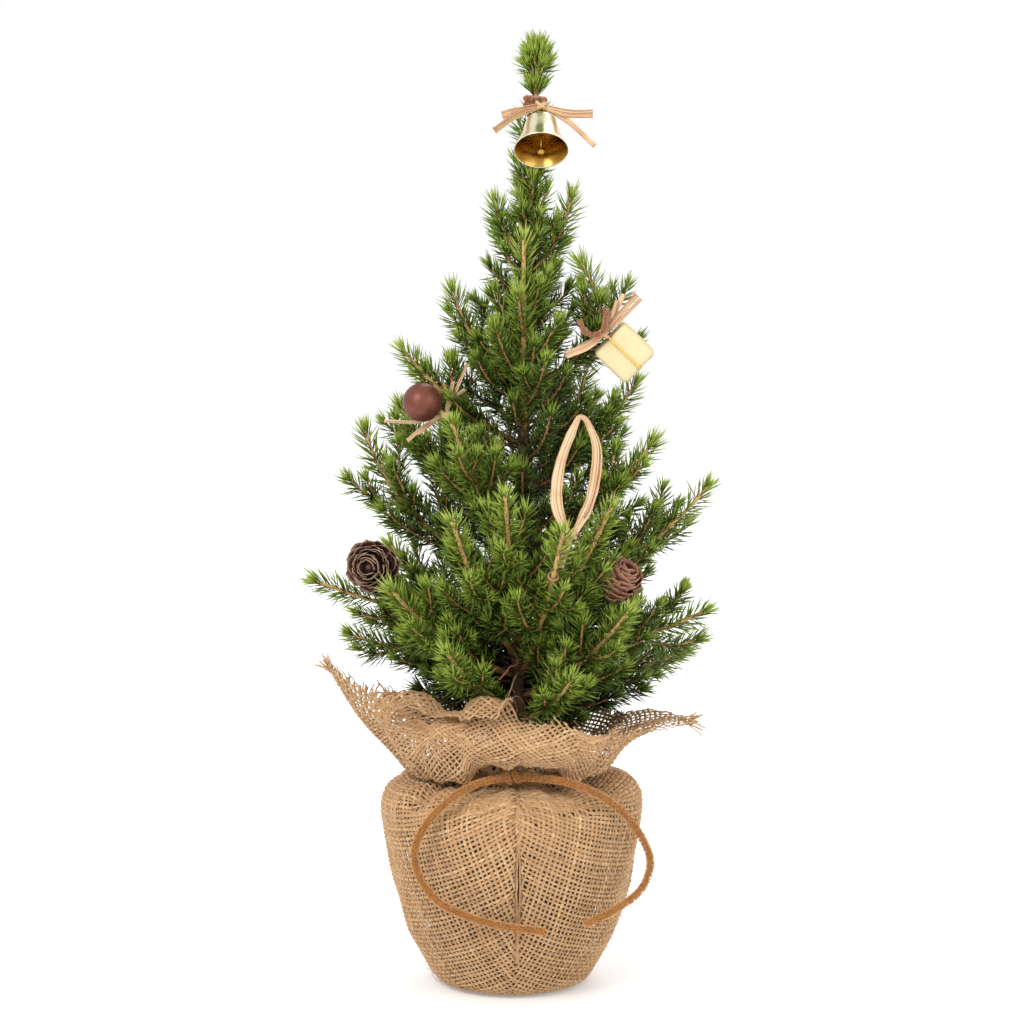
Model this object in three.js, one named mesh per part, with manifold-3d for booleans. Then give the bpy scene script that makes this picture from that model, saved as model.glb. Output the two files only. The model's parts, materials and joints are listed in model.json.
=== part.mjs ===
// A tabletop Christmas tree in a burlap-wrapped pot, with a bell, a bauble, a gift and two cones.
// Millimetres, +Z up, front is -Y. The origin is the centre of the flat face that it rests on.
import * as THREE from "three";
import { mergeVertices } from "three/addons/utils/BufferGeometryUtils.js";
import Module from "manifold-3d";

const wasm = await Module();
wasm.setup();

// ---------------------------------------------------------------- driving dimensions

const GAP = 0.3; // between pieces that touch
const TREE_HEIGHT = 458; // tip of the leader
const TOP_LEAN = 10.5; // how far the tip stands to the right of the foot

const CLOTH = 1.8; // burlap with its folds pressed together
const POT_FOOT_R = 32;
const POT_RIM_R = 57;
const POT_HEIGHT = 90;
const POT_WALL = 1.4;
const POT_SIDES = 28;
const BALLAST_TOP = 78;
const MOSS_TOP = 90;

const NECK_R = 33.8; // outside of the gathered cloth
const NECK_Z = 108; // height of the tie
const TIE_R = 2.3; // chenille stem, pile included

const TRUNK_FOOT_Z = 22;
const TRUNK_TOP_Z = 372;
const TRUNK_FOOT_R = 3.8;
const TRUNK_TOP_R = 2.2;
const CORE_R = 1.1; // steel rod in the trunk

const TWIG_R = 1.0; // bare foot of a branch
const SPRAY_R = 4.3; // needles round a branch, pressed together
const SPRIG_R = 3.2; // needles round a side shoot
const WAIST_R = 2.2; // where a band squeezes the needles
const BAND_R = 1.7; // chenille band, pile included

const BELL_MOUTH_R = 12.4;
const BELL_LENGTH = 18.5;
const BELL_TILT = 44; // degrees that the mouth is turned up towards the front
const BAUBLE_R = 9.1;
const GIFT_SIDE = 20.5;
const GIFT_DEPTH = 14;
const CONE_R = 10.5;
const CONE_LENGTH = 24;

// Branches, from the lowest up: height of the foot on the trunk, direction (0 is +X, 270 the front),
// reach and height of the tip, and how far out the bend reaches as a share of the reach.
const BRANCHES = [
  [128, 292, 67, 159, 0.6],
  [133, 52, 80, 163, 0.6],
  [135, 243, 73, 172, 0.6],
  [138, 16, 84, 157, 0.6],
  [140, 312, 76, 190, 0.6],
  [150, 169, 82, 166, 0.6],
  [150, 222, 80, 200, 0.6],
  [150, 284, 83, 231, 0.55],
  [152, 138, 84, 203, 0.6],
  [155, 354, 89, 182, 0.6],
  [160, 247, 79, 235, 0.55],
  [165, 303, 78, 241, 0.55],
  [165, 34, 84, 214, 0.6],
  [172, 188, 97, 197, 0.6],
  [172, 265, 77, 247, 0.55],
  [175, 80, 78, 233, 0.6],
  [178, 5, 90, 239, 0.62],
  [195, 178, 74, 267, 0.8],
  [195, 118, 72, 262, 0.7],
  [212, 352, 63, 263, 0.65],
  [212, 235, 56, 277, 0.6],
  [225, 152, 66, 275, 0.7],
  [235, 55, 56, 293, 0.65],
  [240, 6, 54, 289, 0.65],
  [262, 194, 58, 307, 0.6],
  [262, 270, 22, 360, 1.05],
  [265, 98, 40, 327, 0.7],
  [285, 168, 35, 333, 0.7],
  [290, 346, 27, 347, 1.95],
  [318, 78, 21, 364, 0.9],
  [345, 0, 20, 378, 0.8],
  [350, 200, 17, 376, 0.8],
];
// The branches that carry the decorations, and how far along they are tied.
const BAUBLE_TIE = { branch: "branch_25", along: 0.62 };
const GIFT_TIE = { branch: "branch_29", along: 0.66 };
const LEFT_CONE_TIE = { branch: "branch_14", along: 0.66 };
const RIGHT_CONE_TIE = { branch: "branch_12", along: 0.6 };
const LOOP_TIE = { branch: "branch_08", along: 0.74 };

// ---------------------------------------------------------------- materials

function paint(color, roughness, metalness = 0) {
  return new THREE.MeshStandardMaterial({ color, roughness, metalness });
}

const BURLAP = paint(0xc39a63, 0.95);
const PLASTIC = paint(0x2b2623, 0.6);
const PLASTER = paint(0xb9b2a4, 0.9);
const MOSS = paint(0x4a3a28, 1);
const STEEL = paint(0x8d9094, 0.4, 0.9);
const BARK = paint(0x6b4a2e, 0.9);
const NEEDLES = paint(0x3f6b26, 0.7);
const CHENILLE = paint(0xc06f22, 0.95);
const BROWN_CHENILLE = paint(0x9a5a34, 0.95);
const RAFFIA = paint(0xe0bd85, 0.8);
const BRASS = paint(0xd8b45a, 0.25, 1);
const COPPER_LACQUER = paint(0x8a4638, 0.5, 0.3);
const PAPER = paint(0xe8dfae, 0.7);
const GOLD_CORD = paint(0xd9a036, 0.4, 0.6);
const CONE_SCALE = paint(0x5d4030, 0.85);

// ---------------------------------------------------------------- solids

function solidOf(geometry) {
  const bare = geometry.index ? geometry.toNonIndexed() : geometry.clone();
  bare.deleteAttribute("normal");
  bare.deleteAttribute("uv");
  const merged = mergeVertices(bare, 1e-4);
  return new wasm.Manifold(
    new wasm.Mesh({
      numProp: 3,
      vertProperties: merged.attributes.position.array,
      triVerts: new Uint32Array(merged.index.array),
    }),
  );
}

function geometryOf(solid) {
  const found = solid.getMesh();
  const geometry = new THREE.BufferGeometry();
  geometry.setAttribute("position", new THREE.BufferAttribute(found.vertProperties, 3));
  geometry.setIndex(new THREE.BufferAttribute(found.triVerts, 1));
  geometry.computeVertexNormals();
  return geometry;
}

function joined(...geometries) {
  return geometryOf(geometries.map(solidOf).reduce((all, next) => all.add(next)));
}

function cut(geometry, ...tools) {
  return geometryOf(tools.map(solidOf).reduce((left, tool) => left.subtract(tool), solidOf(geometry)));
}

// A profile of [radius, height] pairs turned about Z. It starts and ends on the axis, or closes on itself.
function turned(profile, sides) {
  const points = profile.map(([r, z]) => new THREE.Vector2(r, z));
  return new THREE.LatheGeometry(points, sides).rotateX(Math.PI / 2);
}

function ring(radius, thickness, around = 24, sides = 8) {
  const profile = [];
  for (let i = 0; i <= sides; i += 1) {
    const a = (i / sides) * 2 * Math.PI;
    profile.push([radius + thickness * Math.cos(a), thickness * Math.sin(a)]);
  }
  profile[sides] = [...profile[0]];
  return turned(profile, around);
}

function disc(radius, sides) {
  const shape = new THREE.Shape();
  for (let i = 0; i < sides; i += 1) {
    const a = (i / sides) * 2 * Math.PI;
    shape[i ? "lineTo" : "moveTo"](radius * Math.cos(a), radius * Math.sin(a));
  }
  return shape;
}

// A round wire through the points, or with a width a flat strip.
function wire(points, radius, { steps = 16, sides = 8, width = 0 } = {}) {
  const path = new THREE.CatmullRomCurve3(points.map((p) => new THREE.Vector3(...p)));
  const section = width ? rectangle(width, 2 * radius) : disc(radius, sides);
  return new THREE.ExtrudeGeometry(section, { steps, extrudePath: path, bevelEnabled: false });
}

function rectangle(width, height) {
  const [w, h] = [width / 2, height / 2];
  return new THREE.Shape([[-w, -h], [w, -h], [w, h], [-w, h]].map((p) => new THREE.Vector2(...p)));
}

// A shoot along Z from 0 to its length: bare twig, needles, and a waist where a band squeezes them.
function shoot(length, needles, sides, waist) {
  const profile = [
    [0, 0],
    [TWIG_R, 0],
    [TWIG_R, 0.2],
    [0.9 * needles, 0.38],
    [needles, 0.6],
    [0.8 * needles, 0.86],
    [0, 1],
  ].map(([r, share]) => [r, share * length]);
  if (!waist) return turned(profile, sides);
  const at = waist * length;
  const squeezed = profile.filter(([, z]) => Math.abs(z - at) > 5 || z === 0);
  for (const [r, off] of [[needles, -5], [WAIST_R, -2.4], [WAIST_R, 2.4], [needles, 5]]) {
    squeezed.push([r, at + off]);
  }
  return turned(squeezed.sort((a, b) => a[1] - b[1]), sides);
}

// Bends what stands along Z so that it follows a curve that lies in its own XZ plane.
function bent(geometry, curve, length) {
  const position = geometry.attributes.position;
  const across = new THREE.Vector3(0, 1, 0);
  for (let i = 0; i < position.count; i += 1) {
    const share = THREE.MathUtils.clamp(position.getZ(i) / length, 0, 1);
    const tangent = curve.getTangentAt(share);
    const up = new THREE.Vector3().crossVectors(across, tangent);
    const point = curve.getPointAt(share);
    point.addScaledVector(up, position.getX(i)).addScaledVector(across, position.getY(i));
    position.setXYZ(i, point.x, point.y, point.z);
  }
  return geometry;
}

// Turns what stands along Z to a direction, and moves its foot to a point.
function aimed(geometry, foot, direction) {
  const turn = new THREE.Quaternion().setFromUnitVectors(
    new THREE.Vector3(0, 0, 1),
    new THREE.Vector3(...direction).normalize(),
  );
  return geometry.applyQuaternion(turn).translate(...foot);
}

// ---------------------------------------------------------------- the scene

const tree = new THREE.Group();

function place(name, geometry, material, parent = tree) {
  const mesh = new THREE.Mesh(geometry, material);
  mesh.name = name;
  parent.add(mesh);
  return mesh;
}

function lean(z) {
  return 2 + TOP_LEAN * (z / TREE_HEIGHT) ** 2;
}

function trunkRadius(z) {
  const share = (z - TRUNK_FOOT_Z) / (TRUNK_TOP_Z - TRUNK_FOOT_Z);
  return TRUNK_FOOT_R + share * (TRUNK_TOP_R - TRUNK_FOOT_R);
}

// Shifts what stands on the origin so that it follows the trunk's lean.
function leaning(geometry) {
  const position = geometry.attributes.position;
  for (let i = 0; i < position.count; i += 1) position.setX(i, position.getX(i) + lean(position.getZ(i)));
  return geometry;
}

// ---------------------------------------------------------------- pot and filling

const FLOOR = CLOTH + GAP;

function potRadius(z) {
  return POT_FOOT_R + ((z - FLOOR) / POT_HEIGHT) * (POT_RIM_R - POT_FOOT_R);
}

function buildPot() {
  const top = FLOOR + POT_HEIGHT;
  const shell = turned(
    [
      [0, FLOOR],
      [potRadius(FLOOR), FLOOR],
      [potRadius(top - 6), top - 6],
      [POT_RIM_R + 2, top - 6],
      [POT_RIM_R + 2, top],
      [potRadius(top) - POT_WALL, top],
      [potRadius(FLOOR) - POT_WALL, FLOOR + POT_WALL],
      [0, FLOOR + POT_WALL],
    ],
    POT_SIDES,
  );
  const drains = [0, 1, 2, 3].map((i) => {
    const a = ((i + 0.5) / 4) * 2 * Math.PI;
    const hole = new THREE.CylinderGeometry(3, 3, 6, 8).rotateX(Math.PI / 2);
    return hole.translate(24 * Math.cos(a), 24 * Math.sin(a), FLOOR);
  });
  place("pot", cut(shell, ...drains), PLASTIC);
}

// A plug that fills the pot between two heights, with a hole for the trunk.
function filling(low, high, holeRadius) {
  const clear = POT_WALL + GAP + 0.2;
  return turned(
    [
      [holeRadius, low],
      [potRadius(low) - clear, low],
      [potRadius(high) - clear, high],
      [holeRadius, high],
      [holeRadius, low],
    ],
    POT_SIDES,
  );
}

function buildFilling() {
  const seat = TRUNK_FOOT_Z - GAP;
  const clear = POT_WALL + GAP + 0.2;
  const low = FLOOR + POT_WALL + GAP;
  const hole = trunkRadius(TRUNK_FOOT_Z) + 2 * GAP;
  const block = turned(
    [
      [0, low],
      [potRadius(low) - clear, low],
      [potRadius(BALLAST_TOP) - clear, BALLAST_TOP],
      [hole, BALLAST_TOP],
      [hole, seat],
      [0, seat],
    ],
    POT_SIDES,
  );
  place("ballast", leaningHole(block, hole), PLASTER);
  place("moss_disc", leaningHole(filling(BALLAST_TOP + GAP, MOSS_TOP, hole), hole), MOSS);
}

// The trunk's socket follows the trunk, while the outer wall stays on the pot's axis.
function leaningHole(geometry, hole) {
  const position = geometry.attributes.position;
  for (let i = 0; i < position.count; i += 1) {
    const [x, y] = [position.getX(i), position.getY(i)];
    if (Math.hypot(x, y) < hole + 1) position.setX(i, x + lean(position.getZ(i)));
  }
  return geometry;
}

// ---------------------------------------------------------------- burlap wrap

// The loose collar above the tie: direction, then [radius, height] of the two points that pull the
// cloth and of its free edge. Between two directions the shape changes smoothly.
const COLLAR = [
  [20, [46, 112], [54, 122], [56, 127]],
  [50, [46, 112], [50, 122], [54, 130]],
  [95, [48, 113], [50, 124], [52, 132]],
  [150, [52, 110], [60, 120], [64, 134]],
  [187, [58, 105], [72, 122], [89, 157.5]],
  [210, [60, 105], [74, 124], [66, 143]],
  [235, [58, 108], [72, 134], [52, 145]],
  [262, [60, 108], [72, 138], [50, 146]],
  [290, [62, 108], [74, 132], [58, 140]],
  [310, [60, 107], [70, 122], [74, 130]],
  [330, [50, 109], [60, 120], [60, 128]],
  [356, [50, 116], [66, 130], [86, 127]],
];

function collarPulls(angle) {
  const after = COLLAR.findIndex(([direction]) => direction > angle);
  const next = COLLAR[after < 0 ? 0 : after];
  const last = COLLAR.at((after < 0 ? 0 : after) - 1);
  const span = (next[0] - last[0] + 360) % 360;
  const share = ((angle - last[0] + 360) % 360) / span;
  const smooth = share * share * (3 - 2 * share);
  return [1, 2, 3].map((i) => last[i].map((from, k) => from + smooth * (next[i][k] - from)));
}

const BODY_PROFILE = [
  [0, 0],
  [33, 0],
  [37.6, 2],
  [39.8, 6],
  [51, 26.5],
  [57.6, 49],
  [62.4, 73],
  [63.8, 85],
  [63, 92.5],
  [59, 99],
  [52, 102.6],
  [44, 103.9],
  [36.5, 103.6],
  [NECK_R, 104.6],
  [NECK_R, NECK_Z + 3.4],
];
const COLLAR_STEPS = 7;

// The outside of the free collar, from beside the neck's top edge, in one direction.
function collarProfile(angle) {
  const start = [NECK_R + GAP, NECK_Z + 3.4];
  const points = [start, ...collarPulls(angle)].map((p) => new THREE.Vector2(...p));
  return new THREE.CubicBezierCurve(...points).getPoints(COLLAR_STEPS).map((p) => p.toArray());
}

// The same line moved in by the cloth's thickness.
function inset(profile, by) {
  return profile.map(([r, z], i) => {
    const [r0, z0] = profile[Math.max(i - 1, 0)];
    const [r1, z1] = profile[Math.min(i + 1, profile.length - 1)];
    const run = Math.hypot(r1 - r0, z1 - z0);
    return r ? [r - (by * (z1 - z0)) / run, z + (by * (r1 - r0)) / run] : [0, z + by];
  });
}

// The cloth is one sheet. It is made as two solids: the pot's wrap up to the neck's top edge, and
// the open collar above it.
function buildBurlap() {
  const around = 32;
  place("burlap_wrap", turned([...BODY_PROFILE, ...inset(BODY_PROFILE, CLOTH).toReversed()], around), BURLAP);

  const count = COLLAR_STEPS + 1;
  const outline = collarProfile(0);
  const geometry = turned([...outline, ...inset(outline, CLOTH).toReversed(), outline[0]], around);
  const position = geometry.attributes.position;
  const perSide = 2 * count + 1;
  for (let i = 0; i < position.count; i += 1) {
    const step = Math.floor(i / perSide) % around;
    const row = (i % perSide) % (2 * count);
    const angle = (step / around) * 360;
    const outside = collarProfile(angle);
    const line = row < count ? outside : inset(outside, CLOTH);
    const [r, z] = line[row < count ? row : 2 * count - 1 - row];
    const a = THREE.MathUtils.degToRad(angle);
    position.setXYZ(i, r * Math.cos(a), r * Math.sin(a), z);
  }
  place("burlap_collar", geometry, BURLAP);
}

// ---------------------------------------------------------------- chenille tie

// The tie's free ends, from the knot at the front of the neck: over the shoulder and down the face.
const LEFT_END = [
  [-1, -40, 108],
  [-14, -49, 107.6],
  [-27, -56, 102.5],
  [-39.5, -57, 90],
  [-45.5, -53, 76],
  [-42.5, -54, 62],
  [-31.5, -58, 50.5],
  [-10.5, -61, 43],
  [15.5, -61, 39],
];
const RIGHT_END = [
  [1, -40, 108],
  [13, -45, 108.6],
  [27, -50, 107.4],
  [42, -50, 101],
  [56, -44, 87.5],
  [65, -40, 69],
  [61, -42, 55],
  [49.5, -48, 47],
  [34, -56, 41],
];

function buildTie() {
  const loop = ring(NECK_R + GAP + TIE_R, TIE_R, 36, 6).translate(0, 0, NECK_Z);
  const knot = new THREE.SphereGeometry(3.6, 10, 6).scale(1.2, 0.9, 0.85).translate(0, -39.6, NECK_Z);
  const ends = [LEFT_END, RIGHT_END].map((points) => wire(points, TIE_R, { steps: 22, sides: 6 }));
  place("neck_tie", joined(loop, knot, ...ends), CHENILLE);
}

// ---------------------------------------------------------------- trunk, leader and branches

function buildTrunk() {
  const bore = CORE_R + GAP;
  const rows = 6;
  const outside = [];
  const inside = [];
  for (let i = 0; i <= rows; i += 1) {
    const z = TRUNK_FOOT_Z + (i / rows) * (TRUNK_TOP_Z - TRUNK_FOOT_Z);
    outside.push([trunkRadius(z), z]);
    inside.push([bore, z]);
  }
  place("trunk", leaning(turned([...outside, ...inside.reverse(), outside[0]], 12)), BARK);
  const rod = [];
  for (let i = 0; i <= rows; i += 1) rod.push([CORE_R, TRUNK_FOOT_Z + 1 + (i / rows) * (TRUNK_TOP_Z - TRUNK_FOOT_Z - 6)]);
  place("trunk_core", leaning(turned([[0, rod[0][1]], ...rod, [0, rod[rows][1]]], 8)), STEEL);
}

const BAND_Z = 421; // where the bell is tied to the leader

function buildLeader() {
  const foot = TRUNK_TOP_Z + GAP;
  const length = TREE_HEIGHT - foot;
  const profile = [
    [0, 0],
    [2, 0],
    [3.6, 0.12],
    [4.4, 0.25],
    [4.4, 0.4],
    [WAIST_R, 0.525],
    [WAIST_R, 0.61],
    [5.2, 0.7],
    [5.6, 0.85],
    [3.2, 0.96],
    [0, 1],
  ].map(([r, share]) => [r, foot + share * length]);
  place("leader", leaning(turned(profile, 10)), NEEDLES);
  place("bell_band", ring(WAIST_R + GAP + BAND_R, BAND_R, 16, 8).translate(lean(BAND_Z), 0, BAND_Z), BROWN_CHENILLE);
}

// A branch's middle line in its own frame: X outwards, Z up, the foot at the origin.
function branchCurve([footZ, , reach, tipZ, bulge]) {
  const start = trunkRadius(footZ) + GAP + TWIG_R;
  const rise = tipZ - footZ;
  return new THREE.QuadraticBezierCurve3(
    new THREE.Vector3(0, 0, 0),
    new THREE.Vector3(bulge * reach - start, 0, 0.34 * rise),
    new THREE.Vector3(reach - start, 0, rise),
  );
}

function buildBranches() {
  const waists = Object.fromEntries(
    [BAUBLE_TIE, GIFT_TIE, LEFT_CONE_TIE, RIGHT_CONE_TIE, LOOP_TIE].map((tie) => [tie.branch, tie.along]),
  );
  BRANCHES.forEach((row, i) => {
    const name = "branch_" + String(i + 1).padStart(2, "0");
    const [footZ, direction] = row;
    const curve = branchCurve(row);
    const length = curve.getLength();
    const pieces = [bent(shoot(length, SPRAY_R, 7, waists[name]), curve, length)];
    const sprigLength = 0.3 * length;
    if (length > 60 && !waists[name]) {
      for (const [along, side] of [[0.42, 1], [0.56, -1]]) {
        const tangent = curve.getTangentAt(along);
        const heading = [tangent.x, 0.8 * side, tangent.z];
        pieces.push(aimed(shoot(sprigLength, SPRIG_R, 5), curve.getPointAt(along).toArray(), heading));
      }
    }
    const branch = place(name, pieces.length > 1 ? joined(...pieces) : pieces[0], NEEDLES);
    const a = THREE.MathUtils.degToRad(direction);
    const start = trunkRadius(footZ) + GAP + TWIG_R;
    branch.position.set(lean(footZ) + start * Math.cos(a), start * Math.sin(a), footZ);
    branch.rotation.z = a;
    branch.userData.curve = curve;
  });
}

// The point of a branch where something is tied, and the branch's direction there.
function tiePoint({ branch, along }) {
  const mesh = tree.getObjectByName(branch);
  mesh.updateMatrixWorld(true);
  const curve = mesh.userData.curve;
  return {
    point: mesh.localToWorld(curve.getPointAt(along)),
    direction: curve.getTangentAt(along).transformDirection(mesh.matrixWorld),
  };
}

// A band round a tied branch with a leg to what it holds.
function bandWithLeg(tie, thickness, ...leg) {
  const { point, direction } = tiePoint(tie);
  const band = ring(WAIST_R + GAP + thickness, thickness, 14, 6);
  aimed(band, point.toArray(), direction.toArray());
  const first = new THREE.Vector3(...leg[0]).sub(point);
  first.addScaledVector(direction, -first.dot(direction)).setLength(WAIST_R + GAP + thickness).add(point);
  return joined(band, wire([first.toArray(), ...leg], 0.8 * thickness, { steps: 8, sides: 6 }));
}

// ---------------------------------------------------------------- raffia

// A flat tail of raffia, blunt at both ends.
function tail(points, width) {
  return wire(points, 0.4, { steps: 6, width });
}

function bow(centre, knotRadius, tails) {
  const knot = new THREE.SphereGeometry(knotRadius, 10, 6).translate(...centre);
  return joined(knot, ...tails);
}

// ---------------------------------------------------------------- bell

const BELL_TOP = [13.5, -9, 414.5];
const HOOK_FOOT = -5.4; // bottom of the hook inside the bell, from the bell's top

function buildBell() {
  const bell = new THREE.Group();
  bell.position.set(...BELL_TOP);
  bell.rotation.x = -THREE.MathUtils.degToRad(BELL_TILT);
  tree.add(bell);
  const wall = 0.7;
  const outside = [
    [1.2, 0],
    [5.2, -0.3],
    [6.9, -1.6],
    [8, -6],
    [9.3, -11],
    [10.8, -15.2],
    [BELL_MOUTH_R - 0.8, -BELL_LENGTH + 1.2],
    [BELL_MOUTH_R, -BELL_LENGTH + 0.5],
    [BELL_MOUTH_R, -BELL_LENGTH],
  ];
  const inside = outside.slice(0, 7).map(([r, z], i) => [i ? r - wall : r, z - (i < 3 ? wall : 0)]);
  inside.push([BELL_MOUTH_R - 1.3, -BELL_LENGTH]);
  place("bell", turned([...inside, ...outside.reverse(), inside[0]], 20), BRASS, bell);

  const eye = new THREE.TorusGeometry(1.9, 0.45, 6, 12).rotateY(Math.PI / 2).translate(0, 0, 2.2);
  const shank = new THREE.CylinderGeometry(0.45, 0.45, 3.2, 8).rotateX(Math.PI / 2).translate(0, 0, -1);
  const hook = new THREE.TorusGeometry(1.5, 0.45, 6, 12).rotateX(Math.PI / 2).translate(0, 0, HOOK_FOOT + 1.5);
  place("bell_loop", joined(eye, shank, hook), BRASS, bell);

  const clapper = new THREE.Group();
  clapper.position.set(0, 0, HOOK_FOOT);
  clapper.rotation.x = THREE.MathUtils.degToRad(32);
  bell.add(clapper);
  const link = new THREE.TorusGeometry(1.35, 0.4, 6, 12).rotateY(Math.PI / 2).translate(0, 0, -0.2);
  const stem = new THREE.CylinderGeometry(0.4, 0.4, 8.6, 8).rotateX(Math.PI / 2).translate(0, 0, -5.9);
  const bob = new THREE.SphereGeometry(1.9, 10, 6).translate(0, 0, -10.9);
  place("bell_clapper", joined(link, stem, bob), BRASS, clapper);

  const knot = [13.5, -8.9, 421.4];
  const throughEye = new THREE.TorusGeometry(2.6, 0.5, 6, 12).rotateX(Math.PI / 2).translate(13.5, -7.5, 418.7);
  const tails = [
    throughEye,
    tail([knot, [4, -12, 419.6], [-4.6, -13, 417.5]], 4.4),
    tail([knot, [3, -14.5, 417.4], [-8.4, -15, 410.5]], 4.2),
    tail([knot, [25, -12.5, 419.2], [37.6, -13, 418]], 4.6),
    tail([knot, [26, -13, 414], [38.6, -13, 402.5]], 3.4),
  ];
  place("bell_bow", bow(knot, 2.1, tails), RAFFIA);
}

// ---------------------------------------------------------------- bauble

const BAUBLE_AT = [-42, -25, 283.5];

function buildBauble() {
  const { point } = tiePoint(BAUBLE_TIE);
  const centre = new THREE.Vector3(...BAUBLE_AT);
  const up = new THREE.Vector3().subVectors(point, centre).normalize();
  const at = (distance) => centre.clone().addScaledVector(up, distance).toArray();
  const ball = new THREE.SphereGeometry(BAUBLE_R, 16, 10).translate(...BAUBLE_AT);
  place("bauble", ball, COPPER_LACQUER);
  const cap = turned([[0, 0], [2.6, 0], [2.8, -0.9], [3.4, -0.9], [3.1, 1.2], [0, 1.2]], 14);
  place("bauble_cap", aimed(cap, at(BAUBLE_R + GAP + 0.6), up.toArray()), BRASS);
  const from = at(BAUBLE_R + 2 * GAP + 2.1);
  place("bauble_wire", bandWithLeg(BAUBLE_TIE, 0.9, from), BROWN_CHENILLE);
  const knot = [-31.5, -22, 277.5];
  const tails = [
    tail([knot, [-45, -19, 269.5], [-59.7, -22, 274.5]], 3.2),
    tail([knot, [-41, -20, 268], [-49, -22, 265]], 3.0),
    tail([knot, [-25, -19, 287], [-20.6, -17, 301]], 3.0),
    tail([knot, [-27, -19, 282], [-22, -19, 289]], 3.4),
  ];
  place("bauble_bow", bow(knot, 2.0, tails), RAFFIA);
}

// ---------------------------------------------------------------- gift

const GIFT_AT = [52.5, -19, 306.5];
const GIFT_TURN = 44; // degrees that it hangs from upright

function buildGift() {
  const gift = new THREE.Group();
  gift.position.set(...GIFT_AT);
  gift.rotation.y = THREE.MathUtils.degToRad(GIFT_TURN);
  tree.add(gift);
  place("gift_box", new THREE.BoxGeometry(GIFT_SIDE, GIFT_DEPTH, GIFT_SIDE), PAPER, gift);
  const hole = rectangle(GIFT_DEPTH + 2 * GAP, GIFT_SIDE + 2 * GAP);
  const frame = rectangle(GIFT_DEPTH + 2 * GAP + 2.4, GIFT_SIDE + 2 * GAP + 2.4);
  frame.holes.push(hole);
  const cord = new THREE.ExtrudeGeometry(frame, { depth: 1.2, bevelEnabled: false });
  cord.translate(0, 0, -0.6).rotateY(Math.PI / 2).rotateX(Math.PI / 2);
  place("gift_cord", cord, GOLD_CORD, gift);
  const knot = [42.5, -26.5, 315.5];
  const tails = [
    tail([knot, [50, -25.5, 325], [58, -24, 334]], 3.6),
    tail([knot, [47, -24, 323], [52, -20, 332]], 3.0),
    tail([knot, [35, -27, 309.5], [25, -27, 306]], 3.8),
  ];
  place("gift_bow", bow(knot, 2.0, tails), RAFFIA);
  place("gift_band", bandWithLeg(GIFT_TIE, BAND_R - 0.3, [42.5, -19, 321], [42.5, -23.2, 317.5]), BROWN_CHENILLE);
}

// ---------------------------------------------------------------- cones

function buildCone(name, centre, axis, tie) {
  const rows = 9;
  const profile = [[0, 0]];
  for (let i = 0; i < rows; i += 1) {
    const share = (i + 0.5) / rows;
    const bulge = Math.sin(Math.PI * share ** 0.8) ** 0.62;
    profile.push([CONE_R * bulge * (i % 2 ? 0.94 : 1), share * CONE_LENGTH]);
  }
  profile.push([0, CONE_LENGTH]);
  const direction = new THREE.Vector3(...axis).normalize();
  const foot = new THREE.Vector3(...centre).addScaledVector(direction, -CONE_LENGTH / 2);
  place(name, aimed(turned(profile, 14), foot.toArray(), direction.toArray()), CONE_SCALE);
  const start = foot.clone().addScaledVector(direction, -GAP - 0.7);
  const behind = foot.clone().addScaledVector(direction, -3);
  place(name + "_wire", bandWithLeg(tie, 0.7, behind.toArray(), start.toArray()), STEEL);
}

// ---------------------------------------------------------------- raffia loop and dry twig

function buildRaffiaLoop() {
  const { point } = tiePoint(LOOP_TIE);
  const loop = new THREE.CatmullRomCurve3(
    [
      [25, -66, 228],
      [20.5, -65, 243],
      [22.5, -64, 261],
      [29, -63, 278],
      [31.5, -63, 281.5],
      [35, -63, 278],
      [39, -64, 265],
      [36, -65, 244],
      [28.5, -66, 228],
    ].map((p) => new THREE.Vector3(...p)),
  );
  const strip = new THREE.ExtrudeGeometry(rectangle(1.2, 4.6), { steps: 20, extrudePath: loop, bevelEnabled: false });
  const knot = new THREE.SphereGeometry(3, 10, 6).scale(1, 0.7, 1.2).translate(26.6, -65.6, 228);
  const { direction } = tiePoint(LOOP_TIE);
  const band = aimed(ring(WAIST_R + GAP + 0.8, 0.8, 14, 6), point.toArray(), direction.toArray());
  const near = new THREE.Vector3(26.6, -65.6, 228).sub(point);
  near.addScaledVector(direction, -near.dot(direction)).setLength(WAIST_R + GAP + 0.8).add(point);
  const leg = tail([near.toArray(), [22.5, -62.5, 218], [26.6, -65.6, 228]], 3);
  place("raffia_loop", joined(strip, knot, band, leg), RAFFIA);
}

function buildDryTwig() {
  const foot = [lean(163) + 2, -trunkRadius(163) - GAP - 0.8, 163];
  place("dry_twig", wire([foot, [2, -17, 158], [-6, -30, 153]], 0.6, { steps: 8, sides: 6 }), BARK);
}

buildPot();
buildFilling();
buildBurlap();
buildTie();
buildTrunk();
buildLeader();
buildBranches();
buildBell();
buildBauble();
buildGift();
buildCone("cone_left", [-65.5, -31, 207], [-0.25, -0.95, 0.12], LEFT_CONE_TIE);
buildCone("cone_right", [50.5, -43, 202], [0.42, -0.45, 0.72], RIGHT_CONE_TIE);
buildRaffiaLoop();
buildDryTwig();

export default tree;
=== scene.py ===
"""A tabletop Christmas tree in a burlap-wrapped pot, modelled round its CAD frame.

Lengths in the tables and formulas are millimetres; Shape.build turns them into metres.
"""
import json
import math

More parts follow.
